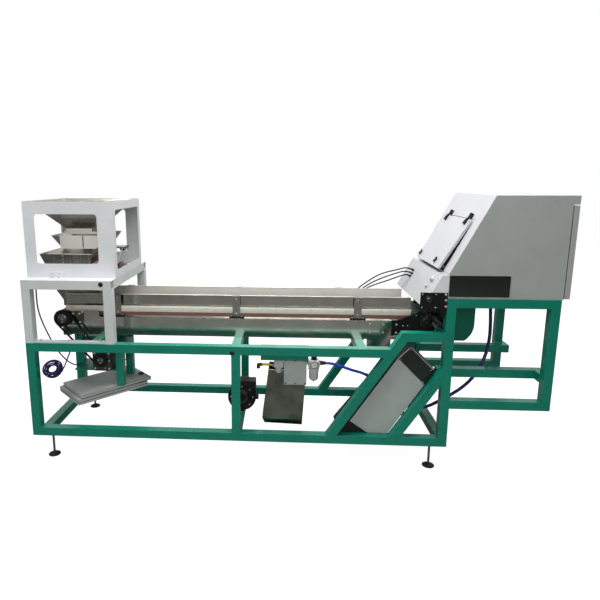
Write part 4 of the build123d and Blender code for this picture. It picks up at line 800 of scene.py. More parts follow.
# %% Feeder trays and springs
TRAYS = "vibrating_trays"
SPRING_LEFT = 538
LOWER_FRONT, UPPER_FRONT = 203.4, 240.8
laps = plate([(84, 1383), (227, 1383), (227, 1451), (48.5, 1451)], LOWER_FRONT, LOWER_FRONT + 1.5)
plate([(354, 1490), (362, 1490), (362, 1578), (354, 1578)], UPPER_FRONT, UPPER_FRONT + 1.1, laps)
set_piece("tray_laps", laps, steel_upright, TRAYS)
hems = bmesh.new()
for start, ys, z, long in ((127, (243.4, 606.6), 1579, 396), (49, (206.4, 643.6), 1451, 380)):
    for y in ys:
        rod((start, y, z), RIGHT, long=long, radius=2.6, sides=10, shape=hems)
# The rolled edges are in lightened stainless: a painted highlight along them.
set_piece("tray_hems", hems, sheen_lightened_steel, TRAYS)
rivet_places = rows([220], [LOWER_FRONT], (1394, 1416, 1438), NEAR)
rivet_places += rows([358], [UPPER_FRONT], (1500, 1534, 1568), NEAR)
grow("tray_rivets", M4, rivet_places, body=TRAYS)
clamps, clamp_places = bmesh.new(), []
for low, high, lean in ((1341, 1356, 8), (1457, 1472, 52)):
    left, right = SPRING_LEFT + lean - 14, SPRING_LEFT + lean + 20
    for y in (381, 435):
        slab((left, y, low), (right, y + 54, high), edge_mm=1.2, shape=clamps)
    clamp_places += rows([right], (392, 424, 446, 478), [(low + high) / 2], RIGHT)
set_piece("spring_clamps", clamps, black_paint)
grow("clamp_bolts", M6, clamp_places)
buffer_profile = [(0, 10), (1, 12.4), (4, 12.4), (5, 11), (14, 10.6), (30, 11), (36, 11), (37, 12.4),
                  (41, 12.4), (42, 10)]
set_piece("feeder_buffer", lathe(buffer_profile, (508, 348, 1313), RIGHT), black_rubber)

# %% [markdown]
# The valve box is a folded tin with a lid: a slightly smaller raised plate, held by six cross-recess
# screws. The plate is a real block a few millimetres thick, so that its edge shades like folded sheet.

# %% Valve box lid
LID_FRONT, LID_BACK = 87, 90.4
set_piece("valve_box_lid", slab((1805, LID_FRONT, 555), (1958, LID_BACK, 737), edge_mm=1.6), box_grey)
grow("valve_lid_screws", M5, rows((1813, 1881.5, 1950), [LID_FRONT], (563, 729), NEAR), black_paint)

# %% [markdown]
# The filter regulator is a die-cast body with a clear bowl below, a pressure gauge on its front and
# threaded nipples left and right. Air comes to the valve box through a black elbow, a brass pipe and a
# chromed coupling. Everything here is round or hexagonal, so it is turned from profiles; the body alone is
# a rounded block.

# %% Filter regulator and inlet
cast_alloy = powder_coat("die cast alloy", "#b4b8b8", "#969a9a", peel_mm=1.4, corner_mm=2.0)
AIR_DEPTH = 118
REGULATOR_X = 2012
REGULATOR = (REGULATOR_X, AIR_DEPTH, 0)
GAUGE_Z = 705
GAUGE = (REGULATOR_X, 88, GAUGE_Z)
OUTLET_Z, INLET_Z = 708, 688
casting = slab((1972, 88, 678), (2052, 148, 732), edge_mm=7.0)
rod(GAUGE, NEAR, long=10, radius=27, sides=36, shape=casting, edge=(1, 1))
bowl = lathe([(569, 5), (571, 6.4), (579, 6.4), (580, 16), (586, 26), (594, 31), (602, 33), (660, 34),
              (661, 38), (677, 38), (678.5, 36)], REGULATOR, UP, sides=36)
nipples = rod((1961, AIR_DEPTH, OUTLET_Z), RIGHT, long=12, radius=15, sides=6, edge=(1.4, 1.4))
rod((2051, AIR_DEPTH, OUTLET_Z), RIGHT, long=9, radius=18, sides=6, shape=nipples, edge=(1.4, 1.4))
lathe([(0, 17), (1, 20), (3, 21.6), (22, 21.6), (24, 18), (34, 18), (36, 21.6), (62, 21.6), (64, 18),
       (72, 17), (80, 15)], (1802, AIR_DEPTH, INLET_Z), LEFT, sides=12, shape=nipples)
pipe = lathe([(0, 11), (1.5, 12), (12, 12), (13.5, 8), (72, 8), (73.5, 12), (80, 12), (81, 10)],
             (1724, AIR_DEPTH, INLET_Z), LEFT)
elbow = lathe([(0, 15), (1, 16), (10, 16), (11, 14), (20, 13.4), (34, 11.2), (35, 9)],
              (2059, AIR_DEPTH, OUTLET_Z), RIGHT)
lathe([(0, 11), (1, 12.4), (10, 12.4), (12, 11.4), (26, 11.4), (32, 9), (34, 5)],
      (1646, AIR_DEPTH, INLET_Z), LEFT, shape=elbow)
lathe([(0, 5), (1.5, 9), (6, 11.2), (24, 11.2), (26, 12.6), (35, 12.6), (36, 10.6)],
      (1621, AIR_DEPTH, INLET_Z + 8), DOWN, shape=elbow)
stand_in("filter_regulator", set_piece("regulator_body", casting, cast_alloy),
         set_piece("regulator_bowl", bowl, bowl_clear),
         set_piece("air_nipples", nipples, chrome, sharp_deg=25),
         set_piece("inlet_pipe", pipe, brass), set_piece("air_elbow", elbow, black_plastic))

# %% [markdown]
# A small filter sits on the inlet, left of the valve box: a rounded die-cast block with a cap and a clear
# cup. It is made like the regulator beside it, from a block and two turned profiles.

# %% Inlet filter
INLET_FILTER = (1766, AIR_DEPTH, 0)
casting = slab((1732, 92, 674), (1800, 144, 728), edge_mm=6.0)
lathe([(728, 22), (729, 23), (734, 23), (735, 21)], INLET_FILTER, UP, sides=36, shape=casting)
set_piece("inlet_filter_body", casting, cast_alloy)
cup = lathe([(628, 6), (630, 14), (636, 21), (644, 24), (666, 25), (667, 26), (673, 26), (675, 24)],
            INLET_FILTER, UP, sides=36)
set_piece("inlet_filter_cup", cup, bowl_clear)

# %% [markdown]
# The gauge's dial is a plain white disc with a ring of black marks and a pointer, under a dark rim. The
# marks repeat round a circle, so they grow on points like the bolts: a small bar each, turned to the
# middle. The same bar tree later makes the cooling fins of the motors and the ribs of the knobs, which
# stand on the circle.

# %% Gauge
BAR = ["Length", "Width", "Height"]
bar_tree, given = new_tree("bar", BAR)
bar_size = node(bar_tree, "ShaderNodeCombineXYZ", dict(zip("XYZ", [given[label] for label in BAR])))
set_out(bar_tree, given, [node(bar_tree, "GeometryNodeMeshCube", {"Size": bar_size})])


def bar(*sizes):
    return bar_tree, dict(zip(BAR, sizes))


def around(middle, axis, radius, count, first_deg=0.0, sweep_deg=360.0, standing=False):
    turn = Vector(axis).to_track_quat("Z", "Y")
    step = sweep_deg / count if sweep_deg == 360.0 else sweep_deg / (count - 1)
    places = []
    for k in range(count):
        angle = math.radians(first_deg + k * step)
        spoke = turn @ Vector((math.cos(angle), math.sin(angle), 0))
        ways = (spoke, axis) if standing else (axis, spoke)
        places.append((Vector(middle) + spoke * radius, *ways))
    return places


set_piece("gauge_dial", lathe([(10, 23.4), (10.4, 23.4)], GAUGE, NEAR, sides=36), dial_white)
rim = around((REGULATOR_X, 77.4, GAUGE_Z), NEAR, radius=24.8, count=40)
grow("gauge_rim", bar(3.0, 4.4, 3.0), rim, black_plastic)
marks = around((REGULATOR_X, 77.5, GAUGE_Z), NEAR, radius=19, count=13, first_deg=-30, sweep_deg=240)
grow("gauge_marks", bar(5.0, 1.1, 0.5), marks, black_plastic)
pointer_way = Vector((-0.55, 0, 0.84))
pointer_place = Vector((REGULATOR_X, 77.2, GAUGE_Z)) + pointer_way * 6
grow("gauge_pointer", bar(20, 1.4, 0.6), [(pointer_place, NEAR, pointer_way)], black_plastic)

# %% [markdown]
# The setting knob on top keeps its solid as a core and gets a ring of upright grip ribs and a dished top.
# The pull knob of the outlet gate is turned in one piece, with a neck for the fingers.

# %% Knobs
knob_ribs = around((REGULATOR_X, AIR_DEPTH, 750), UP, radius=19.2, count=24, standing=True)
grow("regulator_knob_ribs", bar(30, 2.4, 2.4), knob_ribs, black_plastic, "pressure_dial")
knob_cap = lathe([(765.5, 17), (769, 18.6), (769.8, 17.6), (769.6, 12), (768.6, 4)], REGULATOR, UP, sides=32)
set_piece("regulator_knob_cap", knob_cap, black_plastic, "pressure_dial")
grip = lathe([(0, 8), (1, 9.4), (5, 9.8), (8, 8.2), (12, 9), (17, 13), (23, 14), (27.5, 12), (29.6, 7),
              (30, 3)], (445, 322.5, 1612.5), RIGHT, sides=32)
stand_in("gate_knob", set_piece("gate_pull_knob", grip, black_plastic, "outlet_gate"))

# %% [markdown]
# Every tube and cable enters the machine through a gland: a hexagon nut and a tapered sleeve that keeps
# it from kinking. One function sizes all of them from the radius of what passes through. The
# blue hose starts on a nipple and the hank ends in its plug, so those two ends have none. A clip holds the
# hank.

# %% Glands and hose fittings
def gland(place, way, r, shape=None):
    nut = [(-1.0, 1.7 * r), (0.0, 2.0 * r), (1.5 * r, 2.0 * r), (1.7 * r, 1.8 * r)]
    sleeve = [(1.5 * r, 1.7 * r), (2.4 * r, 1.6 * r), (3.2 * r, 1.3 * r), (5.6 * r, 1.08 * r),
              (5.8 * r, 0.9 * r)]
    return lathe(sleeve, place, way, sides=18, shape=lathe(nut, place, way, sides=6, shape=shape))


def towards(first, second):
    return Vector(second) - Vector(first)


glands = gland(coil_route[0], towards(*coil_route[:2]), 5)
for name, solid, material, thick, length, route in cords:
    if name != "regulator_air_hose":
        gland(route[0], towards(route[0], route[1]), thick / 2, glands)
    gland(route[-1], towards(route[-1], route[-2]), thick / 2, glands)
clip_place = coil_centre + across * COIL_RADIUS
lathe([(-4, 24.6), (-3.6, 25.4), (3.6, 25.4), (4, 24.6)], clip_place, lean_back, sides=28, shape=glands)
set_piece("cable_glands", glands, black_plastic)

# %% [markdown]
# The rollers turn in housings bolted to the side plates. A round cap closes each bearing, with a shoulder,
# a dished middle and a grease nipple; four hexagon bolts hold the head housings and four more the tail
# plates. Screws hold the black head plates.

# %% Bearing caps
HEAD_AXIS, DRIVE_AXIS = (2795, 995), (190, 980)
BLOCK_NEAR, BLOCK_FAR = 206, 664
TAIL_NEAR, TAIL_FAR = 212, 658
cap_profile = [(-0.5, 32), (0, 34), (4, 34), (5, 31), (6, 26), (9, 24), (10, 21), (10, 12), (8.6, 6)]
nipple_profile = [(0, 3.6), (4, 3.6), (4.6, 2.4), (7, 2.4), (8, 3.2), (9.6, 2.6), (10.4, 1.4)]
caps, nipples = bmesh.new(), bmesh.new()
for (x, z), y, way, rise in ((HEAD_AXIS, BLOCK_NEAR, NEAR, 32), (HEAD_AXIS, BLOCK_FAR, FAR, 32),
                             (DRIVE_AXIS, TAIL_FAR, FAR, 33)):
    lathe(cap_profile, (x, y, z), way, sides=36, shape=caps)
    lathe(nipple_profile, (x, y + 4 * way[1], z + rise), UP, sides=10, shape=nipples)
set_piece("bearing_caps", caps, black_paint)
set_piece("grease_nipples", nipples, brass)
grow("head_bearing_bolts", M10, both_sides((2764, 2826), BLOCK_NEAR, BLOCK_FAR, (964, 1026)), black_paint)
grow("tail_bearing_bolts", M8, both_sides((262, 308), TAIL_NEAR, TAIL_FAR, (948, 1012)))
head_places = both_sides((2640, 2672), *SIDE_PLATES, [957]) + both_sides([2728], *SIDE_PLATES, [1034])
grow("head_plate_screws", M5, head_places)

# %% [markdown]
# Each pulley is clamped on its shaft by a taper bush: a ring with a chamfer and three screws, round the end
# of the shaft. The bush turns with its pulley, so it rides on the pulley's body.

# %% Pulley bushes
MOTOR_X, MOTOR_Z = 455, 664
MOTOR_AXIS = (MOTOR_X, MOTOR_Z)
for name, (x, z), reach, bush, body in (("drive_bush", DRIVE_AXIS, 34, 30, "tail_drive"),
                                        ("motor_bush", MOTOR_AXIS, 24, 21, "motor_wheel")):
    profile = [(-1, reach), (0, reach), (1.6, reach - 1.6), (2.2, bush), (4.4, bush), (5, bush - 1)]
    set_piece(name, lathe(profile, (x, 184, z), NEAR, sides=40), stem_steel, body)
    ring = around((x, 179.2, z), NEAR, radius=bush - 5.5, count=3, first_deg=30)
    grow(name + "_screws", M5, [place[:2] for place in ring], body=body)

# %% [markdown]
# A wedge belt runs round both pulleys: straight along the outer tangents and round each wheel in between.
# The path is worked out for six lines round the belt's section, and the six are joined into a closed band.

# %% Wedge belt
DRIVE_RADIUS, MOTOR_RADIUS = 60, 45
ARC_STEPS = 28


def belt_loop(inset):
    first, second = DRIVE_RADIUS + inset, MOTOR_RADIUS + inset
    run = Vector(MOTOR_AXIS) - Vector(DRIVE_AXIS)
    heading = math.atan2(run.y, run.x)
    lean = math.acos((first - second) / run.length)
    arcs = ((DRIVE_AXIS, first, heading + lean, 2 * math.pi - 2 * lean),
            (MOTOR_AXIS, second, heading - lean, 2 * lean))
    points = []
    for (x, z), radius, begin, sweep in arcs:
        angles = [begin + sweep * k / ARC_STEPS for k in range(ARC_STEPS + 1)]
        points += [(x + radius * math.cos(a), z + radius * math.sin(a)) for a in angles]
    return points


band = bmesh.new()
lines = []
for inset, y in ((-5, 190), (4, 188.6), (5, 189.4), (5, 202.6), (4, 203.4), (-5, 202)):
    lines.append([band.verts.new(spot(x, y, z)) for x, z in belt_loop(inset)])
for line, following in zip(lines, lines[1:] + lines[:1]):
    for k in range(len(line)):
        band.faces.new((line[k - 1], line[k], following[k], following[k - 1]))
stand_in("v_belt", set_piece("wedge_belt", band, black_rubber))

# %% [markdown]
# The drive is a geared motor. Its barrel carries cooling fins and ends in a fan cover with a slotted
# grille; the gear case has a bolted cover and an oil plug, and the terminal box a screwed lid and a cable
# gland. Fins and grille are one bar set out round a circle, which is quicker to change than a modelled
# casting.

# %% Geared motor
fins = around((MOTOR_X, 372, MOTOR_Z), FAR, radius=69.5, count=36, standing=True)
grow("motor_fins", bar(118, 3, 9), fins, motor_paint)
cover = lathe([(-2, 69), (0, 72), (1, 74), (30, 74), (35, 71), (38, 64), (38.4, 58)],
              (MOTOR_X, 434, MOTOR_Z), FAR, sides=48)
set_piece("motor_fan_cover", cover, black_paint)
grille = around((MOTOR_X, 472.6, MOTOR_Z), FAR, radius=36, count=28)
grow("motor_fan_grille", bar(40, 3.4, 2.4), grille, motor_paint)
COVER_FRONT, LID_TOP = 214.6, 760
case = slab((392, COVER_FRONT, 584), (518, 218.4, 722), edge_mm=1.6)
slab((422, 335, 755.6), (498, 421, LID_TOP), edge_mm=1.4, shape=case)
set_piece("gear_case_cover", case, motor_paint)
grow("gear_case_bolts", M8, rows((402, 508), [COVER_FRONT], (594, 653, 712), NEAR))
grow("terminal_lid_screws", M5, rows((429, 491), (342, 414), [LID_TOP], UP))
grow("motor_foot_bolts", M10, rows((393, 517), (340, 424), [575], UP))
oil_plug = lathe([(0, 9), (1, 9.6), (5, 9.6), (6, 8.4)], (480, COVER_FRONT, 600), NEAR, sides=6)
set_piece("oil_plug", oil_plug, brass)
set_piece("motor_gland", gland((425, 378, 735), LEFT, 5), black_plastic)

# %% [markdown]
# The suction blower has a pressed scroll with a rolled rim, a wire guard over its inlet and a finned motor
# behind. The guard is a set of thin rings crossed by spokes.

# %% Blower
BLOWER_X, BLOWER_Z = 1482, 332
inlet = (BLOWER_X, 361, BLOWER_Z)
rim = lathe([(-6, 104), (-5, 107), (-1, 108.4), (2, 107), (3, 101), (1.2, 96)],
            (BLOWER_X, 360, BLOWER_Z), NEAR, sides=64)
lathe([(0, 58), (3, 58), (9, 50), (10, 46)], inlet, NEAR, sides=48, shape=rim)
set_piece("blower_rim", rim, black_paint)
WIRE = 1.2
guard = bmesh.new()
for r in (14, 24, 34, 44):
    section = [(10, r - WIRE), (9.4, r), (10, r + WIRE), (11.4, r + WIRE), (12, r), (11.4, r - WIRE)]
    lathe(section, inlet, NEAR, sides=40, shape=guard)
set_piece("blower_guard_rings", guard, stem_steel)
spokes = around((BLOWER_X, 348.4, BLOWER_Z), NEAR, radius=28, count=8, first_deg=22.5)
grow("blower_guard_spokes", bar(44, 2.2, 2.2), spokes, stem_steel)
ring = around((BLOWER_X, 359, BLOWER_Z), NEAR, radius=84, count=8)
grow("blower_bolts", M6, [place[:2] for place in ring])
fins = around((BLOWER_X, 530, BLOWER_Z), FAR, radius=73, count=32, standing=True)
grow("blower_fins", bar(130, 3, 8), fins, black_paint)

# %% [markdown]
# The control box is a black case with a pale grey cover on its near side and a dark panel at the upper end.
# The case's black is painted shade where it shows beside the cover, along the brace. Thin chrome trims close
# the cover's edges and frame the panel; their brightness is a painted highlight along those edges. A trim is
# a narrow plate along one edge of the outline; the cover stops short of the brace and of the base beam,
# which stand in the same plane.

# %% Control box cover and highlight trims
cover = plate([(2268, 307), (2393, 221.5), (2533, 221.5), (2768, 590), (2574, 769)], 57, 60.2)
set_piece("control_box_cover", cover, box_grey)
trims = bmesh.new()
for start, stop in (((2268, 307), (2574, 769)), ((2574, 769), (2661, 859)), ((2661, 859), (2822, 699)),
                    ((2764, 583), (2578, 767))):
    plate(strip(start, stop, 6), 55.8, 60.2, trims)
set_piece("control_box_highlight_trims", trims, chrome)
panel_corners = ((2600, 764), (2662, 833), (2806, 690), (2758, 604))
grow("control_panel_screws", M4, [((x, 60, z), NEAR) for x, z in panel_corners])

# %% [markdown]
# The debris bin's rim is folded over into a stiff edge, and two bolts hold its back sheet to the angle
# above. A thin rod along each side shows the fold without bending the sheet; its pale steel is a painted
# highlight along the fold.

# %% Debris bin rim
BIN_LEFT, BIN_RIGHT, BIN_NEAR, BIN_FAR, BIN_TOP = 1694, 1961, 147, 305, 640
RIM_RADIUS = 3
rim = bmesh.new()
for y in (BIN_NEAR, BIN_FAR):
    rod((BIN_LEFT, y, BIN_TOP), RIGHT, long=BIN_RIGHT - BIN_LEFT, radius=RIM_RADIUS, sides=10, shape=rim,
        edge=(1, 1))
for x in (BIN_LEFT, BIN_RIGHT):
    rod((x, BIN_NEAR, BIN_TOP), FAR, long=BIN_FAR - BIN_NEAR, radius=RIM_RADIUS, sides=10, shape=rim,
        edge=(1, 1))
set_piece("debris_bin_rim", rim, sheen_lightened_steel)
grow("debris_bin_bolts", M8, rows((1840, 1920), [200], [700], NEAR))

# %% [markdown]
# The two plates under the tail are folded trays: each has a folded lip along its upper edge, in bright zinc
# as a painted highlight on the fold, and under it a black strip, a painted shadow in the gap below the lip.
# Both follow the plates' two near edges, which run at forty-five degrees to the frame.

# %% Lip highlights and gap shadows of the hung plates
DIAGONAL = 0.7071
LIP_PROUD, SHADOW_PROUD = 1.5, 0.8
lip_highlights, gap_shadows = bmesh.new(), bmesh.new()
for middle, half_long, half_short, lip_levels, shadow_levels in (
        (UPPER_PLATE, 282.5, 170, (445, 450.4), (425.2, 429)),
        ((415, 342), 277.5, 175, (420, 425), (402, 406))):
    long, short = Vector((DIAGONAL, DIAGONAL)) * half_long, Vector((-DIAGONAL, DIAGONAL)) * half_short
    left, near, right = [Vector(middle) + a * long + b * short for a, b in ((-1, 1), (-1, -1), (1, -1))]
    for start, stop in ((left, near), (near, right)):
        for shape, levels, proud in ((lip_highlights, lip_levels, LIP_PROUD), (gap_shadows, shadow_levels, SHADOW_PROUD)):
            prism(*[[(x, y, z) for x, y in strip(start, stop, proud)] for z in levels], shape)
set_piece("plate_lip_highlights", lip_highlights, bright_zinc)
set_piece("plate_gap_shadows", gap_shadows, black_rubber)

# %% [markdown]
# The inspection door lies on the cabinet's sloping front and stands four degrees open, as photographed.
# Points on it are given as a distance up the slope, a height square to it and a depth; `ajar` then turns
# them about the hinge pins, so screws on the door stay square to it.

# %% Places on the slope
SLOPE_FOOT = (2868, 1372)
SLOPE_RUN = Vector((0.4557, 0, 0.8901))
SLOPE_OUT = Vector((-0.8901, 0, 0.4557))
PIN_ALONG, PIN_OUT = 376, 21
AJAR_DEG = 4
hinge_turn = Matrix.Rotation(math.radians(AJAR_DEG), 3, "Y")
DOOR_OUT = hinge_turn @ SLOPE_OUT


def slope_place(along, out, y):
    return Vector((SLOPE_FOOT[0], y, SLOPE_FOOT[1])) + SLOPE_RUN * along + SLOPE_OUT * out


def ajar(along, out, y):
    pin = slope_place(PIN_ALONG, PIN_OUT, y)
    return pin + hinge_turn @ (slope_place(along, out, y) - pin)


print("door's lower edge at", [round(v, 1) for v in ajar(-6, 1, 412)])

# %% [markdown]
# Each hinge leaf on the door is a thick black pad with two screws, and two screws hold its bracket to the
# cabinet. The quarter-turn latches pivot on a screw. A flat rubber gasket lies round the opening under the
# door, thin enough to let the door close on it. One more black strip lies along the seam above the door's
# upper edge: a painted shadow line in the gap there. Blocks on the slope are drawn from the slope's own
# distances, so none has to be turned by hand.

# %% Door hardware
def slope_block(place, along, outs, depth, shape):
    corners = [(along[0], depth[0]), (along[1], depth[0]), (along[1], depth[1]), (along[0], depth[1])]
    prism(*[[place(a, out, y) for a, y in corners] for out in outs], shape)


HINGE_DEPTHS = (196, 609)
PAD_TOP = 31
pads = bmesh.new()
for y in HINGE_DEPTHS:
    slope_block(ajar, (333, 366), (22.8, PAD_TOP), (y - 14, y + 14), pads)
set_piece("hinge_leaf_pads", pads, black_plastic, "inspection_lid")
leaf_places = [(ajar(along, PAD_TOP, y), DOOR_OUT) for y in HINGE_DEPTHS for along in (341, 358)]
grow("hinge_leaf_screws", M5, leaf_places, black_paint, "inspection_lid")
bracket_places = [(slope_place(408, 17, y + side), SLOPE_OUT) for y in HINGE_DEPTHS for side in (-9, 9)]
grow("hinge_bracket_screws", M4, bracket_places, black_paint)
for name, y, body in (("near_latch_screw", 258, "near_latch"), ("far_latch_screw", 650, "far_latch")):
    grow(name, M5, [(ajar(40, 30.4, y), DOOR_OUT)], body=body)
GASKET_NEAR, GASKET_FAR, GASKET_WIDTH = 138, 686, 16
GASKET_OUT = (-0.4, 0.8)
# The seam strip is a painted shadow line in the gap above the door's upper edge.
SEAM_SHADOW_LINE = (381.5, 384.5)
gasket = bmesh.new()
for along in ((-4, 12), (352, 368), SEAM_SHADOW_LINE):
    slope_block(slope_place, along, GASKET_OUT, (GASKET_NEAR, GASKET_FAR), gasket)
for near in (GASKET_NEAR, GASKET_FAR - GASKET_WIDTH):
    slope_block(slope_place, (4, 360), GASKET_OUT, (near, near + GASKET_WIDTH), gasket)
set_piece("door_gasket", gasket, black_rubber)

# %% [markdown]
# Dark panes close the cabinet's sides just above the stand, held by black screws along their edges. On the
# near side a black plate carries the lamp's adjuster: a barrel with a glass window and a knurled ring, and
# three bright bolts. The knurl is a ring of small bars, because a texture would leave the outline smooth.

# %% Panes and optic plate
PANE_NEAR, PANE_FAR = 4, 804
OPTIC_X, OPTIC_Z = 2745, 1199
OPTIC_FACE = 2
grow("pane_screws", M4, both_sides((2880, 3064, 3247), PANE_NEAR, PANE_FAR, (1229, 1351)), black_plastic)
barrel = lathe([(0, 27), (2, 28), (3, 26), (3.4, 22), (8, 22), (9, 20.6), (8.6, 17), (5, 16)],
               (OPTIC_X, OPTIC_FACE, OPTIC_Z), NEAR, sides=40)
set_piece("optic_barrel", barrel, anodised_black)
glass = lathe([(0, 15.8), (1, 15.8), (2.4, 12), (3, 6)], (OPTIC_X, -2.6, OPTIC_Z), NEAR, sides=32)
set_piece("optic_glass", glass, tinted_pane)
knurl = around((OPTIC_X, -3.4, OPTIC_Z), NEAR, radius=21.6, count=36, standing=True)
grow("optic_knurl", bar(4.6, 1.6, 1.2), knurl, anodised_black)
bolt_spots = ((2852, 1234), (2854, 1197), (2856, 1154))
grow("optic_bolts", M8, [((x, OPTIC_FACE, z), NEAR) for x, z in bolt_spots])
grow("optic_screws", M5, rows((2702, 2790), [OPTIC_FACE], (1234, 1146), NEAR))

# %% [markdown]
# The nose carries the light source: on its sloping face sits an adjusting knob on a small bracket, with a
# second one lower down, and the face is screwed on along its top and its foot. Both knobs are one set of
# profiles at two sizes.

# %% Nose fittings
NOSE_OUT = Vector((-0.8801, 0, 0.4748))
NOSE_FOOT = (2710, 1145)
NOSE_LEAN = 0.5395


def nose_place(y, z, out=0):
    return Vector((NOSE_FOOT[0] + (z - NOSE_FOOT[1]) * NOSE_LEAN, y, z)) + NOSE_OUT * out


knobs, rings, seats = bmesh.new(), bmesh.new(), bmesh.new()
for y, z, size in ((136, 1314, 21), (163, 1260, 11)):
    place = nose_place(y, z)
    ring = [(2.6, size), (3.2, size + 1), (8, size + 1), (9, size), (9.2, size - 4)]
    knob = [(9, size - 5), (14, size - 5), (16, size - 7), (16.6, size - 11), (15.4, 3)]
    rod(nose_place(y, z, -1), NOSE_OUT, long=4, radius=size + 8, sides=6, shape=seats, edge=(1, 1))
    lathe(ring, place, NOSE_OUT, sides=40, shape=rings)
    lathe(knob, place, NOSE_OUT, sides=40, shape=knobs)
set_piece("nose_brackets", seats, nose_white)
set_piece("nose_rings", rings, plate_grey)
set_piece("nose_knobs", knobs, chrome)
grow("nose_screws", M5, [(nose_place(y, z), NOSE_OUT) for y in (40, 404, 768) for z in (1165, 1335)])

# %% [markdown]
# The hopper housing is tied to the deck by folded angles at its near foot and its far foot, each with two
# bolts down into the deck and two screws into the housing. An angle is two thin blocks that meet in the
# fold.

# %% Hopper feet
DECK_TOP = 1300
SHEET = 3
ANGLE_LEFT, ANGLE_RIGHT, ANGLE_HEIGHT = 160, 257, 46
SCREW_ROW = (184, 233)
angles, deck_places, wall_places = bmesh.new(), [], []
for wall, tip, way in ((106, 76, NEAR), (746, 776, FAR)):
    face = wall + SHEET * way[1]
    for edge, height in ((tip, SHEET), (face, ANGLE_HEIGHT)):
        low, high = min(wall, edge), max(wall, edge)
        slab((ANGLE_LEFT, low, DECK_TOP), (ANGLE_RIGHT, high, DECK_TOP + height), edge_mm=0.8, shape=angles)
    deck_places += rows(SCREW_ROW, [(wall + tip) / 2 + 4 * way[1]], [DECK_TOP + SHEET], UP)
    wall_places += rows(SCREW_ROW, [face], [1330], way)
set_piece("hopper_angles", angles, hopper_white)
grow("hopper_deck_bolts", M8, deck_places)
grow("hopper_wall_screws", M5, wall_places)

# %% [markdown]
# The ejector bar blows rejects out of the stream. A row of brass hexagon plugs closes its drillings below;
# the bolt tree makes them too, with another finish.

# %% Ejector plugs
FIRST_PLUG, PLUG_STEP, PLUGS = 90, 46, 16
plug_row = [FIRST_PLUG + PLUG_STEP * k for k in range(PLUGS)]
grow("ejector_plugs", M8, rows([2897], plug_row, [970], DOWN), brass)

# %% [markdown]
# The frame is welded. A short run of overlapping beads fills each inside corner between two tubes, and the
# paint goes over it. Here the points are joined in pairs to lines; the tree walks along each line and drops
# a bead at every step. The beads differ a little in size, from a fixed seed, as a hand-held torch leaves
# them.

# %% Weld bead tree
weld_tree, given = new_tree("weld bead", ["Step", "Bead radius"])
lines = node(weld_tree, "GeometryNodeMeshToCurve", {"Mesh": given["Places"]})
dots = node(weld_tree, "GeometryNodeCurveToPoints", {"Curve": lines, "Length": given["Step"]},
            mode="LENGTH")
bead = node(weld_tree, "GeometryNodeMeshIcoSphere", {"Radius": given["Bead radius"], "Subdivisions": 2})
vary = node(weld_tree, "FunctionNodeRandomValue", {0: (0.85, 0.9, 0.85), 1: (1.15, 1.2, 1.15), "Seed": 7},
            data_type="FLOAT_VECTOR")
make_real(weld_tree, given, node(weld_tree, "GeometryNodeInstanceOnPoints", {
    "Points": dots, "Instance": bead, "Scale": vary}))
print("weld tree", len(weld_tree.nodes), "nodes")

# %% [markdown]
# A side frame's corners are listed once, each with the directions that point into the open. Every corner is
# welded across both side frames. The cross tubes are welded along their upright edges at both ends.

# %% Weld beads
TUBE = 60
BEAM_TOP, BEAM_UNDER, RAIL_UNDER, RAIL_TOP, STAND_UNDER = 220, 793, 910, 970, 1146
POST_RIGHT, MIDDLE_LEFT, MIDDLE_RIGHT = 60, 1440, 1500
COLUMN_LEFT, COLUMN_RIGHT, LEG_LEFT = 2865, 2925, 3528
BRACE_LEAN = 0.653
BRACE_FEET = ((2099.5, 2171.2), (2536.0, 2607.7))
CROSS_TUBES = ((60, 160), (1440, 160), (2865, 160), (440, 793), (1440, 793), (2300, 793), (2865, 910))
BEAD_OUT, BEAD_INSET = 1.2, 5
brace_end = BRACE_FEET[0][0] + BRACE_LEAN * (BEAM_UNDER - BEAM_TOP)
column_high, column_low = [BEAM_TOP + (COLUMN_LEFT - foot) / BRACE_LEAN for foot in BRACE_FEET[1]]
corners = [(POST_RIGHT, BEAM_TOP, 1, 1), (MIDDLE_LEFT, BEAM_TOP, -1, 1), (MIDDLE_RIGHT, BEAM_TOP, 1, 1),
           (COLUMN_LEFT, BEAM_TOP, -1, 1), (POST_RIGHT, BEAM_UNDER, 1, -1), (MIDDLE_LEFT, BEAM_UNDER, -1, -1),
           (MIDDLE_RIGHT, BEAM_UNDER, 1, -1), (COLUMN_LEFT, RAIL_UNDER, -1, -1),
           (COLUMN_LEFT, RAIL_TOP, -1, 1), (COLUMN_RIGHT, STAND_UNDER, 1, -1),
           (LEG_LEFT, STAND_UNDER, -1, -1), (brace_end, BEAM_UNDER, -1, -1),
           (COLUMN_LEFT, column_high, -1, 1), (COLUMN_LEFT, column_low, -1, -1)]
corners += [(foot, BEAM_TOP, side, 1) for feet in BRACE_FEET for foot, side in zip(feet, (-1, 1))]
ends = []
for x, z, side, up in corners:
    for low in (0, FRAME_DEPTH - TUBE):
        ends += [(x + BEAD_OUT * side, low + y, z + BEAD_OUT * up) for y in (BEAD_INSET, TUBE - BEAD_INSET)]
for x, z in CROSS_TUBES:
    for edge in (x - BEAD_OUT, x + TUBE + BEAD_OUT):
        for y in (TUBE + BEAD_OUT, FRAME_DEPTH - TUBE - BEAD_OUT):
            ends += [(edge, y, z + rise) for rise in (BEAD_INSET, TUBE - BEAD_INSET)]
runs = [(k, k + 1) for k in range(0, len(ends), 2)]
beads = (weld_tree, {"Step": 3.6, "Bead radius": 3.4})
welds = grow("weld_beads", beads, [(end, UP) for end in ends], frame_green, edges=runs)
welds.data.shade_smooth()
print("weld runs", len(runs), "faces", len(welds.data.polygons))

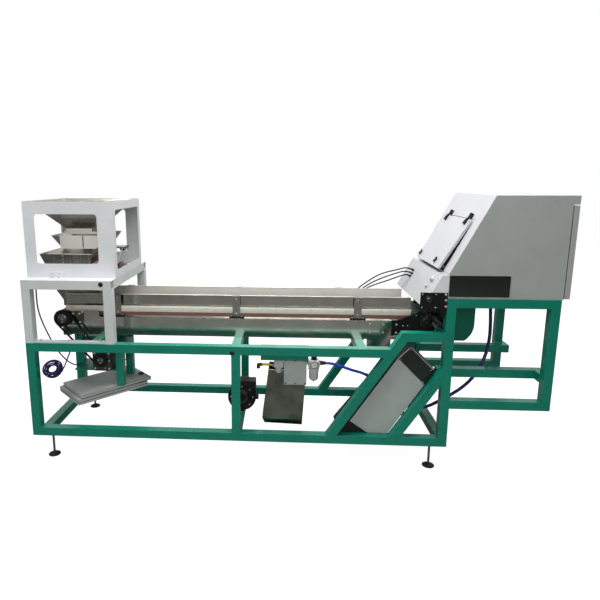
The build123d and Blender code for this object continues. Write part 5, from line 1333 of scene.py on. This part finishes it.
# %% [markdown]
# The surround is white to the camera and to mirrors and glass, and only a soft grey as a light, so the
# background stays white without washing the machine out. Light Path tells the two apart.

# %% Surround
SURROUND_LIGHT = 0.27
world = bpy.data.worlds.new("studio")
bpy.context.scene.world = world
world.use_nodes = True
tree = world.node_tree
tree.nodes.clear()
rays = node(tree, "ShaderNodeLightPath").outputs
seen = rays["Is Camera Ray"]
for ray in ("Is Glossy Ray", "Is Transmission Ray"):
    seen = node(tree, "ShaderNodeMath", {0: seen, 1: rays[ray]}, operation="MAXIMUM")
level = node(tree, "ShaderNodeMapRange", {"Value": seen, "To Min": SURROUND_LIGHT, "To Max": 1.0})
glow = node(tree, "ShaderNodeBackground", {"Color": (1, 1, 1, 1), "Strength": level})
node(tree, "ShaderNodeOutputWorld", {"Surface": glow})
print("surround for diffuse light", SURROUND_LIGHT)

# %% [markdown]
# The floor is a pale matt sheet that takes the machine's shadow. To the camera it also glows a little, so
# it meets the white surround without a line. A ring of dark drapes stands far out, as round any product
# shoot with polished metal: only mirrors see it, and it gives stainless sheet its dark reflections.

# %% Floor and drapes
def stage_mesh(name, verts, faces, material):
    mesh = bpy.data.meshes.new(name)
    mesh.from_pydata(verts, [], faces)
    mesh.materials.append(material)
    thing = put(name, mesh)
    return thing


FLOOR_GLOW = 0.92
FLOOR_HALF = 60
floor_paint, tree = new_material("pale studio floor")
rays = node(tree, "ShaderNodeLightPath")
lift = node(tree, "ShaderNodeMath", {0: rays.outputs["Is Camera Ray"], 1: FLOOR_GLOW}, operation="MULTIPLY")
glow = node(tree, "ShaderNodeEmission", {"Color": (1, 1, 1, 1), "Strength": lift})
matt = node(tree, "ShaderNodeBsdfDiffuse", {"Color": linear("#8f8f8d")})
both = node(tree, "ShaderNodeAddShader", {0: glow, 1: matt})
node(tree, "ShaderNodeOutputMaterial", {"Surface": both})
floor_corners = [(x * FLOOR_HALF, y * FLOOR_HALF, 0) for x, y in ((-1, -1), (1, -1), (1, 1), (-1, 1))]
floor = stage_mesh("floor", floor_corners, [(0, 1, 2, 3)], floor_paint)
drape_cloth, tree = new_material("dark drape")
dim = node(tree, "ShaderNodeEmission", {"Color": linear("#5f6663"), "Strength": 0.7})
node(tree, "ShaderNodeOutputMaterial", {"Surface": dim})
DRAPE_SIDES = 32
DRAPE_RADIUS = 9.0
DRAPE_HEIGHT = 2.3
bearings = [2 * math.pi * k / DRAPE_SIDES for k in range(DRAPE_SIDES)]
drape_verts = [(DRAPE_RADIUS * math.cos(a), DRAPE_RADIUS * math.sin(a), z)
               for z in (0.01, DRAPE_HEIGHT) for a in bearings]
following = [(k + 1) % DRAPE_SIDES for k in range(DRAPE_SIDES)]
drape_faces = [(k, n, n + DRAPE_SIDES, k + DRAPE_SIDES) for k, n in enumerate(following)]
drapes = stage_mesh("drapes", drape_verts, drape_faces, drape_cloth)
for ray in ("camera", "diffuse", "transmission", "volume_scatter", "shadow"):
    setattr(drapes, "visible_" + ray, False)
print("stage", floor.name, drapes.name)

# %% [markdown]
# The hall's light comes mostly from above, with a window side to the left and weak fills from the front and
# from the right: the tops of the tubes are pale, the left faces bright and the right end of the machine in
# half shade. Each lamp is a soft disc with its place, the point it is aimed at, its width in metres and its
# watts.

# %% Lamps
lamps = [("top light", (-0.3, -0.2, 5.0), (0, 0, 0.8), 4.0, 330),
         ("left light", (-4.5, -3.2, 3.2), (-0.4, 0, 0.9), 2.5, 38),
         ("front fill", (0.5, -7.0, 3.0), (0.0, 0, 0.8), 4.0, 116),
         ("right fill", (5.0, 2.4, 2.6), (0.9, 0, 0.9), 3.0, 60)]
for name, place, aim, size, watts in lamps:
    light = bpy.data.lights.new(name, "AREA")
    light.shape = "DISK"
    light.size = size
    light.energy = watts
    lamp = put(name, light)
    lamp.location = place
    lamp.rotation_euler = (Vector(aim) - Vector(place)).to_track_quat("-Z", "Y").to_euler()
bpy.context.scene.view_settings.view_transform = "Standard"
print("lamps", len(bpy.data.lights))
